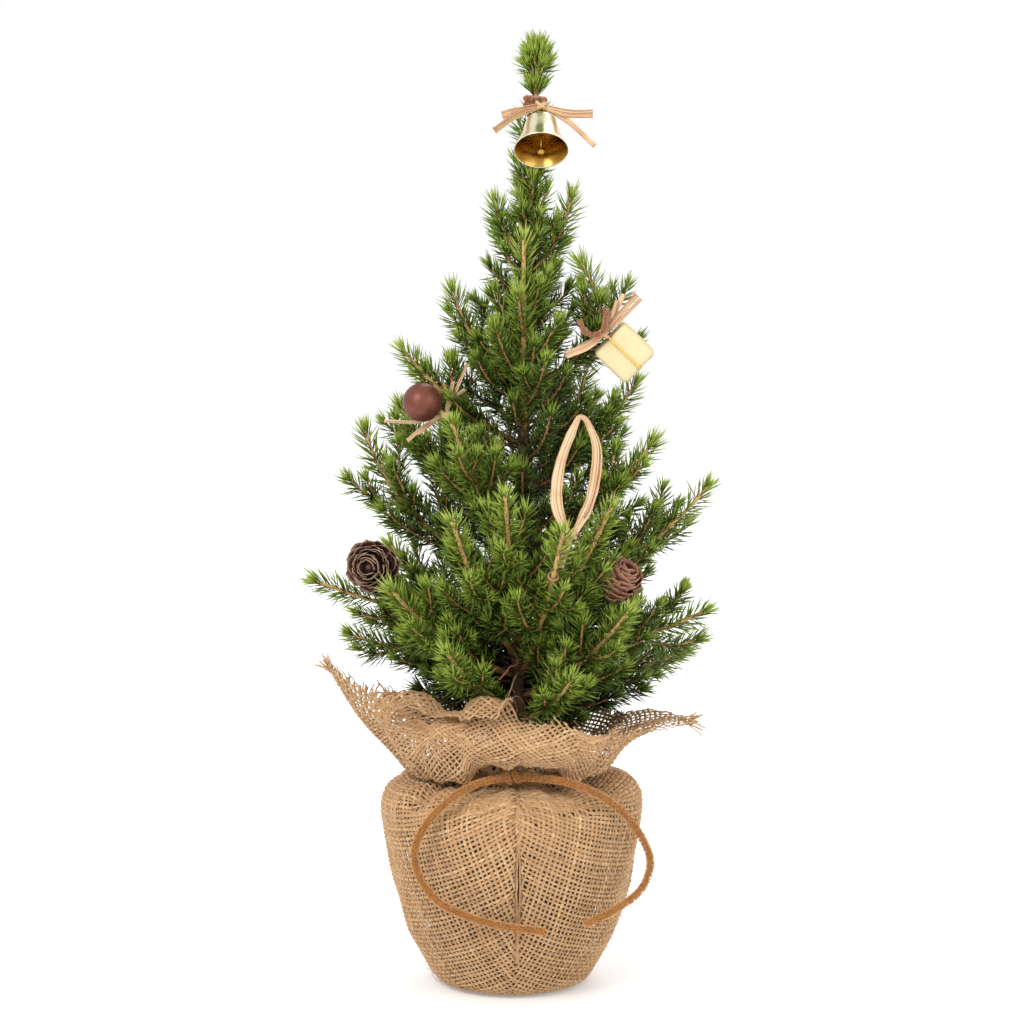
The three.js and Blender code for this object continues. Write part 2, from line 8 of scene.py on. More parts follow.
import bpy
import numpy as np
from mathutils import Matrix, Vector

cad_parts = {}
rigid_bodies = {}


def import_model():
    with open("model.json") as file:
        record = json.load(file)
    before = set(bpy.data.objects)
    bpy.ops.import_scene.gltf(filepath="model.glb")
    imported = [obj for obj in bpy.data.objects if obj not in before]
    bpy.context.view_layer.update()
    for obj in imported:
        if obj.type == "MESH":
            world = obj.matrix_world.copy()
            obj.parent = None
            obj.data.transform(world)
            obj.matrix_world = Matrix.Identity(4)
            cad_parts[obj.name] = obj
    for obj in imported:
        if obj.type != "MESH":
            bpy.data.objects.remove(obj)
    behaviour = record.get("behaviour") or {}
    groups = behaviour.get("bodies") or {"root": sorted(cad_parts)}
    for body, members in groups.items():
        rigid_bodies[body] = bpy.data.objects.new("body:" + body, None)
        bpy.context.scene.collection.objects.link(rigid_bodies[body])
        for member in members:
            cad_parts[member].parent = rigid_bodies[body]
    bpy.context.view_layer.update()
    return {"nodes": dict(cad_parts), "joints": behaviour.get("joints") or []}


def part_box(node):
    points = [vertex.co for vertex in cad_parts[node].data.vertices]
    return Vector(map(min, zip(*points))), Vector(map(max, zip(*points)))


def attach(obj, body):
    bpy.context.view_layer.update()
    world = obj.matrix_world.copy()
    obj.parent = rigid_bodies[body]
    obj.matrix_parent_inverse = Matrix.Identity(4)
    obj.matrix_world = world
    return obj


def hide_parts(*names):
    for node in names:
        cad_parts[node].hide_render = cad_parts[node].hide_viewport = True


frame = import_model()
MM = 0.001
TURN = 2 * math.pi
GOLDEN = 2.39996  # angle from one needle, twig or scale of a spiral to the next
UP = np.array([0.0, 0.0, 1.0])


# ---------------------------------------------------------------- camera, floor and light


LENS = 138.4
SENSOR = 36
CAMERA_PLACE = (0, -1.85, 0.5045)  # metres
CAMERA_DIP = 8.5  # degrees below the level
LIGHT_AIM = (0, 0, 0.2)
# Name, place and size in metres, and watts.
LIGHTS = [
    ("key", (-0.9, -1.3, 1.5), 0.9, 20),
    ("fill", (1.3, -1.1, 0.9), 1.2, 7),
    ("back", (0.3, 1.2, 1.3), 1.0, 8),
]


def add_camera():
    data = bpy.data.cameras.new("camera")
    data.lens = LENS
    data.sensor_width = SENSOR
    camera = bpy.data.objects.new("camera", data)
    camera.location = CAMERA_PLACE
    camera.rotation_euler = (math.radians(90 - CAMERA_DIP), 0, 0)
    bpy.context.collection.objects.link(camera)
    bpy.context.scene.camera = camera


def add_light(name, place, size, watts):
    data = bpy.data.lights.new(name, "AREA")
    data.size = size
    data.energy = watts
    light = bpy.data.objects.new(name, data)
    light.location = place
    aim = np.array(LIGHT_AIM) - np.array(place)
    light.rotation_euler = Vector(aim).to_track_quat("-Z", "Y").to_euler()
    bpy.context.collection.objects.link(light)


def add_studio():
    world = bpy.data.worlds.new("studio")
    world.use_nodes = True
    world.node_tree.nodes["Background"].inputs["Color"].default_value = (1, 1, 1, 1)
    world.node_tree.nodes["Background"].inputs["Strength"].default_value = 1.0
    bpy.context.scene.world = world
    bpy.context.scene.view_settings.view_transform = "Standard"
    for light in LIGHTS:
        add_light(*light)
    bpy.ops.mesh.primitive_plane_add(size=30, location=(0, 0, -0.0004))
    floor = bpy.context.object
    floor.name = "floor"
    white = Nodes("floor", 0.9, specular=0)
    white.shader.inputs["Base Color"].default_value = (0.8, 0.8, 0.8, 1)
    white.shader.inputs["Emission Color"].default_value = (1, 1, 1, 1)
    white.shader.inputs["Emission Strength"].default_value = 0.22
    floor.data.materials.append(white.material)


# ---------------------------------------------------------------- materials


class Nodes:
    """A Principled material under construction."""

    def __init__(self, name, roughness, metallic=0.0, sheen=0.0, specular=0.5):
        self.material = bpy.data.materials.new(name)
        self.material.use_nodes = True
        self.tree = self.material.node_tree
        self.shader = self.tree.nodes["Principled BSDF"]
        self.shader.inputs["Roughness"].default_value = roughness
        self.shader.inputs["Metallic"].default_value = metallic
        self.shader.inputs["Sheen Weight"].default_value = sheen
        self.shader.inputs["Specular IOR Level"].default_value = specular

    def node(self, kind, **settings):
        made = self.tree.nodes.new(kind)
        for key, value in settings.items():
            if key in made.inputs:
                made.inputs[key].default_value = value
            else:
                setattr(made, key, value)
        return made

    def link(self, source, target):
        self.tree.links.new(source, target)

    def tone(self):
        return self.node("ShaderNodeAttribute", attribute_name="tone").outputs["Fac"]

    def noise(self, scale, detail=3.0):
        place = self.node("ShaderNodeTexCoord").outputs["Object"]
        made = self.node("ShaderNodeTexNoise", Scale=scale, Detail=detail)
        self.link(place, made.inputs["Vector"])
        return made.outputs["Fac"]

    def math(self, operation, first, second):
        made = self.node("ShaderNodeMath", operation=operation)
        for socket, value in zip(made.inputs, (first, second)):
            if isinstance(value, (int, float)):
                socket.default_value = value
            else:
                self.link(value, socket)
        return made.outputs["Value"]

    def colour(self, factor, stops):
        made = self.node("ShaderNodeValToRGB")
        elements = made.color_ramp.elements
        while len(elements) < len(stops):
            elements.new(0.5)
        for element, (position, colour) in zip(elements, stops):
            element.position = position
            element.color = (*colour, 1)
        self.link(factor, made.inputs["Fac"])
        self.link(made.outputs["Color"], self.shader.inputs["Base Color"])

    def bump(self, height, strength):
        made = self.node("ShaderNodeBump", Strength=strength, Distance=0.0004)
        self.link(height, made.inputs["Height"])
        self.link(made.outputs["Normal"], self.shader.inputs["Normal"])


def shades(*colours, at=None):
    """Colour stops from dark to light, evenly spread where their places aren't given."""
    return list(zip(at or np.linspace(0, 1, len(colours)), colours))


def toned_material(name, stops, roughness, grain=900, mix=0.35, bump=0.3, **settings):
    """Colour by the mesh's own tone, broken up by a fine noise that also gives the bump."""
    made = Nodes(name, roughness, **settings)
    grain_noise = made.noise(grain)
    offset = made.math("MULTIPLY", made.math("SUBTRACT", grain_noise, 0.5), mix)
    made.colour(made.math("ADD", made.tone(), offset), stops)
    made.bump(grain_noise, bump)
    return made.material


def pile_material(name, *colours):
    return toned_material(name, shades(*colours), 0.8, grain=2500, mix=0.4, sheen=0.4, specular=0.2)


def scale_material(name, *colours):
    return toned_material(name, shades(*colours), 0.7, grain=1200, bump=0.5)


def metal_material(name, roughness, grain, *colours):
    return toned_material(name, shades(*colours), roughness, grain, mix=0.3, bump=0.02, metallic=1.0)


JUTE_SHADES = (0.20, 0.10, 0.042), (0.39, 0.22, 0.098), (0.55, 0.335, 0.165), (0.74, 0.52, 0.30)
NEEDLE_SHADES = (0.012, 0.024, 0.004), (0.078, 0.132, 0.012), (0.235, 0.325, 0.034), (0.43, 0.52, 0.10)
FOUR_STOPS = (0.0, 0.35, 0.7, 1.0)
JUTE = toned_material(
    "jute", shades(*JUTE_SHADES, at=FOUR_STOPS), 0.85, grain=2500, mix=0.5, sheen=0.15, specular=0.2,
)
NEEDLE = toned_material(
    "needle", shades(*NEEDLE_SHADES, at=FOUR_STOPS), 0.5, grain=500, mix=0.3, bump=0.1, specular=0.25,
)
TWIG = toned_material(
    "twig", shades((0.06, 0.03, 0.01), (0.42, 0.22, 0.065), (0.74, 0.48, 0.19)),
    0.75, grain=1400, mix=0.5, bump=0.6,
)
BARK = toned_material(
    "bark", shades((0.03, 0.016, 0.009), (0.13, 0.065, 0.033), (0.27, 0.16, 0.09)),
    0.9, grain=700, mix=0.8, bump=0.9,
)
RED_TWIG = toned_material("red_twig", shades((0.30, 0.07, 0.04), (0.75, 0.30, 0.20)), 0.7)
COIR = toned_material(
    "coir", shades((0.035, 0.02, 0.011), (0.12, 0.07, 0.03), (0.25, 0.16, 0.07)), 0.95,
)
ORANGE_PILE = pile_material("orange_pile", (0.28, 0.092, 0.012), (0.60, 0.255, 0.045), (0.86, 0.47, 0.13))
BROWN_PILE = pile_material("brown_pile", (0.22, 0.075, 0.03), (0.50, 0.20, 0.095), (0.74, 0.40, 0.22))
RAFFIA = toned_material(
    "raffia", shades((0.26, 0.115, 0.04), (0.56, 0.33, 0.165), (0.80, 0.59, 0.38), at=(0.0, 0.45, 1.0)),
    0.55, grain=1500, bump=0.4,
)
SCALE = scale_material("cone_scale", (0.016, 0.007, 0.005), (0.125, 0.056, 0.036), (0.42, 0.28, 0.19))
RED_SCALE = scale_material(
    "red_cone_scale", (0.018, 0.006, 0.004), (0.135, 0.046, 0.027), (0.40, 0.19, 0.115),
)
PAPER = toned_material(
    "gift_paper", shades((0.36, 0.27, 0.11), (0.60, 0.48, 0.245), (0.72, 0.60, 0.35)),
    0.6, grain=260, mix=0.4, bump=0.25,
)
GOLD_THREAD = toned_material(
    "gold_thread", shades((0.45, 0.25, 0.03), (0.83, 0.56, 0.12), (1.0, 0.83, 0.35)),
    0.35, grain=4000, mix=0.5, metallic=0.7,
)
CHAMPAGNE = metal_material("champagne_metal", 0.22, 60, (0.72, 0.66, 0.42), (0.90, 0.85, 0.64))
AMBER = metal_material("amber_metal", 0.25, 80, (0.34, 0.19, 0.035), (0.70, 0.47, 0.13))
COPPER = toned_material(
    "copper_lacquer", shades((0.06, 0.016, 0.009), (0.155, 0.045, 0.027), (0.29, 0.10, 0.062)),
    0.42, grain=350, mix=0.5, bump=0.05, metallic=0.45,
)
WIRE = toned_material(
    "wire", shades((0.015, 0.022, 0.008), (0.04, 0.055, 0.02)), 0.4, mix=0.4, metallic=0.8,
)
# CAD nodes that keep their own mesh: dark and light shade, roughness, noise scale, bump, metallic.
CAD_LOOKS = {
    "pot": ((0.060, 0.042, 0.026), (0.095, 0.066, 0.042), 0.7, 120, 0.2, 0.0),
    "ballast": ((0.45, 0.41, 0.33), (0.62, 0.58, 0.49), 0.9, 160, 0.5, 0.0),
    "trunk_core": ((0.42, 0.42, 0.43), (0.6, 0.6, 0.6), 0.35, 300, 0.1, 1.0),
}
CAD_MATERIALS = {"pot": "pot_plastic", "ballast": "plaster", "trunk_core": "rod_steel"}


def finish_cad_nodes():
    for node, (dark, light, roughness, scale, bump, metallic) in CAD_LOOKS.items():
        made = Nodes(CAD_MATERIALS[node], roughness, metallic)
        noise = made.noise(scale, 6.0)
        made.colour(noise, [(0.3, dark), (0.7, light)])
        made.bump(noise, bump)
        data = frame["nodes"][node].data
        data.materials.clear()
        data.materials.append(made.material)


# ---------------------------------------------------------------- meshes


class Shape:
    """Points, faces, one tone for each point and one material for each face."""

    def __init__(self, *materials):
        self.materials = materials
        self.points, self.tones, self.faces = [], [], {3: [], 4: []}
        self.used, self.count = {3: [], 4: []}, 0

    def add(self, points, faces, tone=0.5, material=0):
        points = np.asarray(points, float).reshape(-1, 3)
        self.points.append(points)
        self.tones.append(np.broadcast_to(np.asarray(tone, float).ravel(), len(points)))
        for group in faces if isinstance(faces, (list, tuple)) else [faces]:
            if len(group):
                self.faces[group.shape[1]].append(group + self.count)
                self.used[group.shape[1]].append(np.full(len(group), material))
        self.count += len(points)

    def build(self, name, body, replaces=()):
        sizes = [size for size in (3, 4) if self.faces[size]]
        groups = [np.concatenate(self.faces[size]) for size in sizes]
        loops = np.concatenate([group.ravel() for group in groups])
        corners = np.concatenate([np.full(len(group), size) for size, group in zip(sizes, groups)])
        starts = np.cumsum(corners) - corners
        slots = np.concatenate([part for size in sizes for part in self.used[size]])
        mesh = bpy.data.meshes.new(name)
        mesh.vertices.add(self.count)
        mesh.vertices.foreach_set("co", (np.concatenate(self.points) * MM).ravel())
        mesh.loops.add(len(loops))
        mesh.loops.foreach_set("vertex_index", loops.astype(np.int32))
        mesh.polygons.add(len(starts))
        mesh.polygons.foreach_set("loop_start", starts.astype(np.int32))
        mesh.polygons.foreach_set("material_index", slots.astype(np.int32))
        mesh.polygons.foreach_set("use_smooth", np.ones(len(starts), bool))
        tone = mesh.attributes.new("tone", "FLOAT", "POINT")
        tone.data.foreach_set("value", np.concatenate(self.tones))
        mesh.update(calc_edges=True)
        mesh.validate()
        for material in self.materials:
            mesh.materials.append(material)
        made = bpy.data.objects.new(name, mesh)
        bpy.context.collection.objects.link(made)
        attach(made, body)
        if replaces:
            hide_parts(*replaces)
        return made


def unit(vectors):
    vectors = np.asarray(vectors, float)
    return vectors / np.maximum(np.linalg.norm(vectors, axis=-1, keepdims=True), 1e-9)


def grid_faces(rows, columns, wrap=False):
    """Quads over a grid of points, row by row; wrap joins the last column to the first."""
    across = np.arange(columns if wrap else columns - 1)
    along = np.arange(rows - 1)[:, None]
    after = (across + 1) % columns
    corners = [along * columns + across, along * columns + after]
    corners += [(along + 1) * columns + after, (along + 1) * columns + across]
    return np.stack([c.ravel() for c in np.broadcast_arrays(*corners)], axis=1)


def fan_faces(first, count, centre, flip=False):
    around = first + np.arange(count)
    after = first + (np.arange(count) + 1) % count
    pair = (after, around) if flip else (around, after)
    return np.stack([np.full(count, centre), *pair], axis=1)


def resample(points, count):
    """Evenly spaced points along a line of any dimension."""
    run = np.concatenate([[0], np.cumsum(np.linalg.norm(np.diff(points, axis=0), axis=1))])
    at = np.linspace(0, run[-1], count)
    return np.stack([np.interp(at, run, column) for column in points.T], axis=1)


def smooth_path(points, steps):
    """A Catmull-Rom curve through the points, as evenly spaced points."""
    points = np.asarray(points, float)
    padded = np.vstack([2 * points[0] - points[1], points, 2 * points[-1] - points[-2]])
    dense = []
    for i in range(len(points) - 1):
        p0, p1, p2, p3 = padded[i:i + 4]
        t = np.linspace(0, 1, 24, endpoint=False)[:, None]
        cubic = (-p0 + 3 * p1 - 3 * p2 + p3) * t ** 3
        square = (2 * p0 - 5 * p1 + 4 * p2 - p3) * t ** 2
        dense.append(0.5 * (2 * p1 + (p2 - p0) * t + square + cubic))
    return resample(np.vstack([*dense, points[-1:]]), steps)


def path_length(points):
    return float(np.linalg.norm(np.diff(points, axis=0), axis=1).sum())


def path_frame(path):
    """Tangent, side and lift at each point of a path, carried along without twisting."""
    tangent = unit(np.gradient(path, axis=0))
    side = np.empty_like(tangent)
    last = np.cross(tangent[0], (0.3, 0.2, 1.0))
    for i, direction in enumerate(tangent):
        last = unit(last - direction * np.dot(last, direction))
        side[i] = last
    return tangent, side, np.cross(tangent, side)


def along_path(path, at):
    """The points at places counted in steps along a path, and the number of the step each is in."""
    low = np.floor(at).astype(int).clip(0, len(path) - 2)
    part = (at - low)[:, None]
    return path[low] * (1 - part) + path[low + 1] * part, low


def add_tube(shape, path, width, sides, tone, material=0, height=None, frame_of=None):
    """A closed tube along a path; width and height are half sizes, one value or one for each point."""
    path = np.asarray(path, float)
    count = len(path)
    _, side, lift = frame_of or path_frame(path)
    height = width if height is None else height
    wide = np.broadcast_to(width, count)[:, None, None]
    high = np.broadcast_to(height, count)[:, None, None]
    angle = np.linspace(0, TURN, sides, endpoint=False)[None, :, None]
    ring = path[:, None] + wide * np.cos(angle) * side[:, None] + high * np.sin(angle) * lift[:, None]
    points = np.vstack([ring.reshape(-1, 3), path[:1], path[-1:]])
    tones = np.broadcast_to(tone, count)
    tones = np.concatenate([np.repeat(tones, sides), tones[:1], tones[-1:]])
    walls = grid_faces(count, sides, wrap=True)[:, ::-1]
    total = count * sides
    ends = [fan_faces(0, sides, total), fan_faces(total - sides, sides, total + 1, flip=True)]
    caps = np.vstack(ends)
    if np.dot(np.cross(side[0], lift[0]), path[1] - path[0]) > 0:
        walls, caps = walls[:, ::-1], caps[:, ::-1]
    shape.add(points, [walls, caps], tones, material)


def add_spikes(shape, base, direction, length, width, bend, tone_base, tone_tip, belly=0.55):
    """Tapering three-sided spikes, such as needles or pile; bend is where each tip moves to."""
    count = len(base)
    direction = unit(direction)
    side = unit(np.cross(direction, UP + 0.01))
    lift = np.cross(side, direction)
    length = np.broadcast_to(length, count)[:, None]
    width = np.broadcast_to(width, count)[:, None]
    bend = np.broadcast_to(bend, (count, 3))
    rows = []
    for share, size in ((0.0, 0.6), (belly, 1.0)):
        centre = base + direction * length * share + bend * share ** 2
        for k in range(3):
            angle = TURN * k / 3
            rows.append(centre + 0.5 * size * width * (math.cos(angle) * side + math.sin(angle) * lift))
    rows.append(base + direction * length + bend)
    points = np.stack(rows, axis=1)
    first = 7 * np.arange(count)[:, None, None]
    quads = first + np.array([[0, 1, 4, 3], [1, 2, 5, 4], [2, 0, 3, 5]])
    tris = first + np.array([[3, 4, 6], [4, 5, 6], [5, 3, 6], [0, 2, 1]])
    low = np.broadcast_to(tone_base, count)
    high = np.broadcast_to(tone_tip, count)
    middle = 0.45 * low + 0.55 * high
    tones = np.stack([low] * 3 + [middle] * 3 + [high], axis=1)
    shape.add(points, [quads.reshape(-1, 4), tris.reshape(-1, 3)], tones)


def add_ball(shape, centre, radius, around, rows, tone=0.5):
    theta = np.linspace(0, math.pi, rows + 1)[1:-1, None]
    phi = np.linspace(0, TURN, around, endpoint=False)[None]
    level = np.cos(theta) + 0 * phi
    sphere = np.stack([np.sin(theta) * np.cos(phi), np.sin(theta) * np.sin(phi), level], 2)
    sphere = np.vstack([sphere.reshape(-1, 3), [UP, -UP]])
    top = around * (rows - 1)
    walls = grid_faces(rows - 1, around, wrap=True)[:, ::-1]
    caps = [fan_faces(0, around, top), fan_faces(top - around, around, top + 1, flip=True)]
    shape.add(sphere * radius + centre, [walls, np.vstack(caps)], tone)


def noise_line(rng, count, knots, amount):
    """A smooth random line of count values."""
    rough = rng.standard_normal(max(int(knots), 2) + 1) * amount
    return np.interp(np.linspace(0, len(rough) - 1, count), np.arange(len(rough)), rough)
def noise_path(rng, count, knots, amount):
    return np.stack([noise_line(rng, count, knots, amount) for _ in range(3)], axis=1)

def cad_vertices(node):
    """A CAD node's points at rest, in millimetres."""
    found = frame["nodes"][node]
    points = np.empty(3 * len(found.data.vertices))
    found.data.vertices.foreach_get("co", points)
    return points.reshape(-1, 3) / MM


def middle_of(node):
    low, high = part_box(node)
    return (np.array(low) + np.array(high)) / 2 / MM


JOINTS = {joint["child"]: joint for joint in frame["joints"]}


def joint_place(body):
    return np.array(JOINTS[body]["pos_m"]) / MM


# ---------------------------------------------------------------- the burlap's surface

CLOTH_INSET = 0.85  # middle of the threads, inside the CAD's outer face
# Radius and height of the body's outline, from the middle of the foot to the neck.
BODY_LINE = [
    (0, 0), (33, 0), (37.6, 2), (39.8, 6), (51, 26.5), (57.6, 49), (62.4, 73), (63.8, 85), (63, 92.5),
    (59, 99), (52, 102.6), (44, 103.9), (36.5, 103.6), (33.8, 104.6), (33.8, 111.4),
]
# Direction, then [radius, height] of the two points that pull the collar and of its free edge.
COLLAR = [
    (20, (46, 112), (54, 122), (56, 127)),
    (50, (46, 112), (50, 122), (54, 130)),
    (95, (48, 113), (50, 124), (52, 132)),
    (150, (52, 110), (60, 120), (64, 134)),
    (187, (58, 105), (72, 122), (89, 157.5)),
    (210, (60, 105), (74, 124), (66, 143)),
    (235, (58, 108), (72, 133), (53, 142.5)),
    (262, (60, 108), (72, 135), (51, 141.5)),
    (290, (62, 108), (74, 130), (58, 137)),
    (310, (60, 107), (70, 122), (74, 130)),
    (330, (50, 109), (60, 120), (60, 128)),
    (356, (50, 116), (66, 130), (86, 127)),
]
ROLL_RADIUS = 2.6  # of the front flap's rolled edge
ROLL_TURN = math.radians(196)
ROLL_LENGTH = 20.0
LEFT_DROOP, RIGHT_DROOP = 9.0, 8.0  # how far the collar sinks beside the tie
DROOP_RADIUS = 48  # where it sinks most
FOOT_HEIGHT = 0.8  # lowest middle of the cloth
RIM_HEIGHT = 94.0  # lowest middle of the cloth where it goes over the pot's rim
POT_WALL = [(0, 33.2), (80, 58.6), (84.5, 60.3), (93, 60.3)]  # height, smallest radius beside the pot
BODY_ROWS = 120
COLLAR_ROWS = 30
EXTRA_ROWS = 18  # beyond the free edge: frayed ends, or the rolled part at the front
DIRECTIONS = 720


def hump(value, middle, width):
    """1 at the middle and about a third of that one width away."""
    return np.exp(-(((value - middle) / width) ** 2))


def bump_at(angle, centre, width):
    """A hump over a direction in degrees."""
    return hump((angle - centre + 180) % 360 - 180, 0, width)


def body_line():
    """The body's outline as evenly spaced points with its corners rounded."""
    line = np.array(BODY_LINE, float)
    dense = resample(line, 600)
    for _ in range(3):
        dense[8:-8] = np.mean([dense[8 + k:len(dense) - 8 + k] for k in range(-8, 9, 4)], axis=0)
    length = np.cumsum(np.linalg.norm(np.diff(line, axis=0), axis=1))[-1]
    return dense[np.linspace(0, 599, BODY_ROWS).astype(int)], length


def step_between(value, low, high):
    """From 0 to 1, with both ends eased."""
    share = np.clip((value - low) / (high - low), 0, 1)
    return share * share * (3 - 2 * share)


def rolled(angle):
    """How far the front flap's edge is rolled outwards, from 0 to 1."""
    return float(step_between(angle, 204, 218) * (1 - step_between(angle, 262, 276)))


def drooping(angle):
    """How far the collar sinks on to the shoulder on each side of the tie."""
    left = step_between(angle, 165, 185) * (1 - step_between(angle, 244, 250))
    right = step_between(angle, 296, 303) * (1 - step_between(angle, 335, 350))
    return LEFT_DROOP * float(left) + RIGHT_DROOP * float(right)


def collar_line(angle):
    """The collar's outline in one direction, continued beyond the free edge, and its two lengths."""
    directions = np.array([row[0] for row in COLLAR])
    after = int(np.searchsorted(directions, angle, side="right")) % len(COLLAR)
    last = COLLAR[after - 1]
    span = (COLLAR[after][0] - last[0]) % 360
    share = step_between((angle - last[0]) % 360 / span, 0, 1)
    pairs = zip(last[1:], COLLAR[after][1:])
    pulls = [(1 - share) * np.array(here) + share * np.array(there) for here, there in pairs]
    t = np.linspace(0, 1, COLLAR_ROWS + 1)[1:, None]
    curve = (1 - t) ** 3 * np.array(BODY_LINE[-1]) + 3 * (1 - t) ** 2 * t * pulls[0]
    curve = curve + 3 * (1 - t) * t ** 2 * pulls[1]
    curve = curve + t ** 3 * pulls[2]
    curve[:, 1] -= drooping(angle) * hump(curve[:, 0], DROOP_RADIUS, 9)
    length = path_length(curve)
    step = length / COLLAR_ROWS
    run = curve[-1] - curve[-2]
    heading = math.atan2(run[1], run[0])
    turn_left = ROLL_TURN * rolled(angle)
    beyond = [curve[-1]]
    for _ in range(EXTRA_ROWS):
        turn = min(turn_left, step / ROLL_RADIUS)
        turn_left -= turn
        heading -= turn
        beyond.append(beyond[-1] + step * np.array([math.cos(heading), math.sin(heading)]))
    return np.vstack([curve, beyond[1:]]), length, ROLL_LENGTH * rolled(angle)


class Cloth:
    """The gathered burlap as one surface: a point for each direction and length from the pot's axis."""

    def __init__(self):
        outline, self.body_length = body_line()
        self.angles = np.arange(DIRECTIONS) * 360 / DIRECTIONS
        collars = [collar_line(angle) for angle in self.angles]
        self.collar_length = [length for _, length, _ in collars]
        self.roll_length = [roll for _, _, roll in collars]
        lines = np.array([np.vstack([outline, free]) for free, _, _ in collars])
        along = np.gradient(lines, axis=1)
        along /= np.linalg.norm(along, axis=2, keepdims=True)
        inward = np.stack([-along[..., 1], along[..., 0]], axis=2)
        height = lines[..., 1]
        lines = lines + inward * (CLOTH_INSET + self.folds(lines))[..., None]
        r, z = lines[..., 0], np.maximum(lines[..., 1], FOOT_HEIGHT)
        body = np.arange(r.shape[1])[None] < BODY_ROWS
        over_rim = body & (height > RIM_HEIGHT)
        z = np.where(over_rim, np.maximum(z, RIM_HEIGHT), z)
        wall = np.interp(z, *zip(*POT_WALL))
        r = np.where(body & ~over_rim & (z > 4), np.maximum(r, wall), r)
        a = np.radians(self.angles)[:, None]
        self.grid = np.stack([r * np.cos(a), r * np.sin(a), z], axis=2)
        around = np.roll(self.grid, -1, axis=0) - np.roll(self.grid, 1, axis=0)
        self.normals = unit(np.cross(around, np.gradient(self.grid, axis=1)))
        self.normals[:, :2] = -UP
        self.radius = r

    def folds(self, lines):
        """How far the cloth is pushed in, in each direction and at each row."""
        rng = np.random.default_rng(11)
        rows = np.arange(lines.shape[1])[None]
        a = self.angles[:, None]
        r, z = lines[..., 0], lines[..., 1]
        body = rows < BODY_ROWS
        gather = np.zeros_like(r)
        for waves, size in ((17, 0.5), (26, 0.45), (39, 0.3)):
            gather += size * (1 + np.sin(np.radians(a * waves) + rng.uniform(0, 6.3)))
        depth = 1.3 * hump(rows, BODY_ROWS, 16.0) * gather
        soft = np.zeros_like(r)
        for waves, lift in ((3, 0.05), (5, -0.08), (8, 0.11), (11, -0.06)):
            soft += np.sin(np.radians(a * waves) + z * lift + rng.uniform(0, 6.3))
        height = np.clip((z - 12) / 30, 0, 1)
        depth += np.where(body, 0.45 * height * (soft + 1.2), 0)
        wave = np.clip((rows - BODY_ROWS) / COLLAR_ROWS, 0, 1.3)
        for waves, size in ((7, 1.5), (12, 1.0), (19, 0.6)):
            depth += size * wave * np.sin(np.radians(a * waves) + rng.uniform(0, 6.3))
        for dents, part in ((DENTS, body), (COLLAR_DENTS, ~body)):
            for centre, width, middle, tall, deep in dents:
                depth += deep * bump_at(a, centre, width) * hump(z, middle, tall) * part
        seam = bump_at(a, SEAM, 1.5) * (1.6 + 3.0 * hump(z, 55, 20))
        return depth + seam * np.clip((z - 14) / 20, 0, 1) * body

    def around(self, values, angle):
        """A value for each direction of the grid, read off between the directions."""
        column = np.asarray(angle) % 360 / 360 * DIRECTIONS
        return np.interp(column, np.arange(DIRECTIONS + 1), [*values, values[0]])

    def lookup(self, angle, length):
        """Grid coordinates of a direction and a length."""
        over = (length - self.body_length) / self.around(self.collar_length, angle)
        on_body = length / self.body_length * (BODY_ROWS - 1)
        row = np.where(over < 0, on_body, BODY_ROWS - 1 + over * COLLAR_ROWS)
        column = np.asarray(angle) % 360 / 360 * DIRECTIONS
        return column, np.clip(row, 0, BODY_ROWS + COLLAR_ROWS + EXTRA_ROWS - 2)

    def sample(self, table, angle, length):
        column, row = self.lookup(angle, length)
        c0, r0 = np.floor(column).astype(int), np.floor(row).astype(int)
        fc, fr = (column - c0)[..., None], (row - r0)[..., None]
        c0, c1, r1 = c0 % DIRECTIONS, (c0 + 1) % DIRECTIONS, np.minimum(r0 + 1, table.shape[1] - 1)
        low = table[c0, r0] * (1 - fc) + table[c1, r0] * fc
        high = table[c0, r1] * (1 - fc) + table[c1, r1] * fc
        return low * (1 - fr) + high * fr

    def place(self, angle, length):
        return self.sample(self.grid, angle, length)

    def normal(self, angle, length):
        return unit(self.sample(self.normals, angle, length))

    def edge(self, angle):
        collar = self.around(self.collar_length, angle)
        return self.body_length + collar + self.around(self.roll_length, angle)


SEAM = 273.0  # direction of the front seam
# Hollows in the shoulder: direction, width, height, height range and depth.
DENTS = [
    (221, 5.5, 99, 7, 8.5),
    (305, 5, 97, 7, 4.2),
    (293, 3.5, 99, 7, 2.6),
    (330, 7, 101, 6, 4.0),
    (244, 4, 98, 9, 2.6),
    (256, 3, 97, 8, 1.8),
    (280, 3, 96, 9, 2.0),
]
# The same for the collar: valleys between its wings.
COLLAR_DENTS = [
    (226, 6, 131, 14, 7.5),
    (203, 5, 122, 10, 2.5),
    (243, 5, 122, 9, 2.2),
    (285, 6, 124, 10, 2.6),
    (318, 7, 122, 12, 5.0),
]


# ---------------------------------------------------------------- the burlap's threads

PITCH = 2.3
THREAD_WIDE = 0.66  # half sizes of a thread
THREAD_HIGH = 0.36
THREAD_WAVE = 0.36  # how far a thread rises over its neighbours
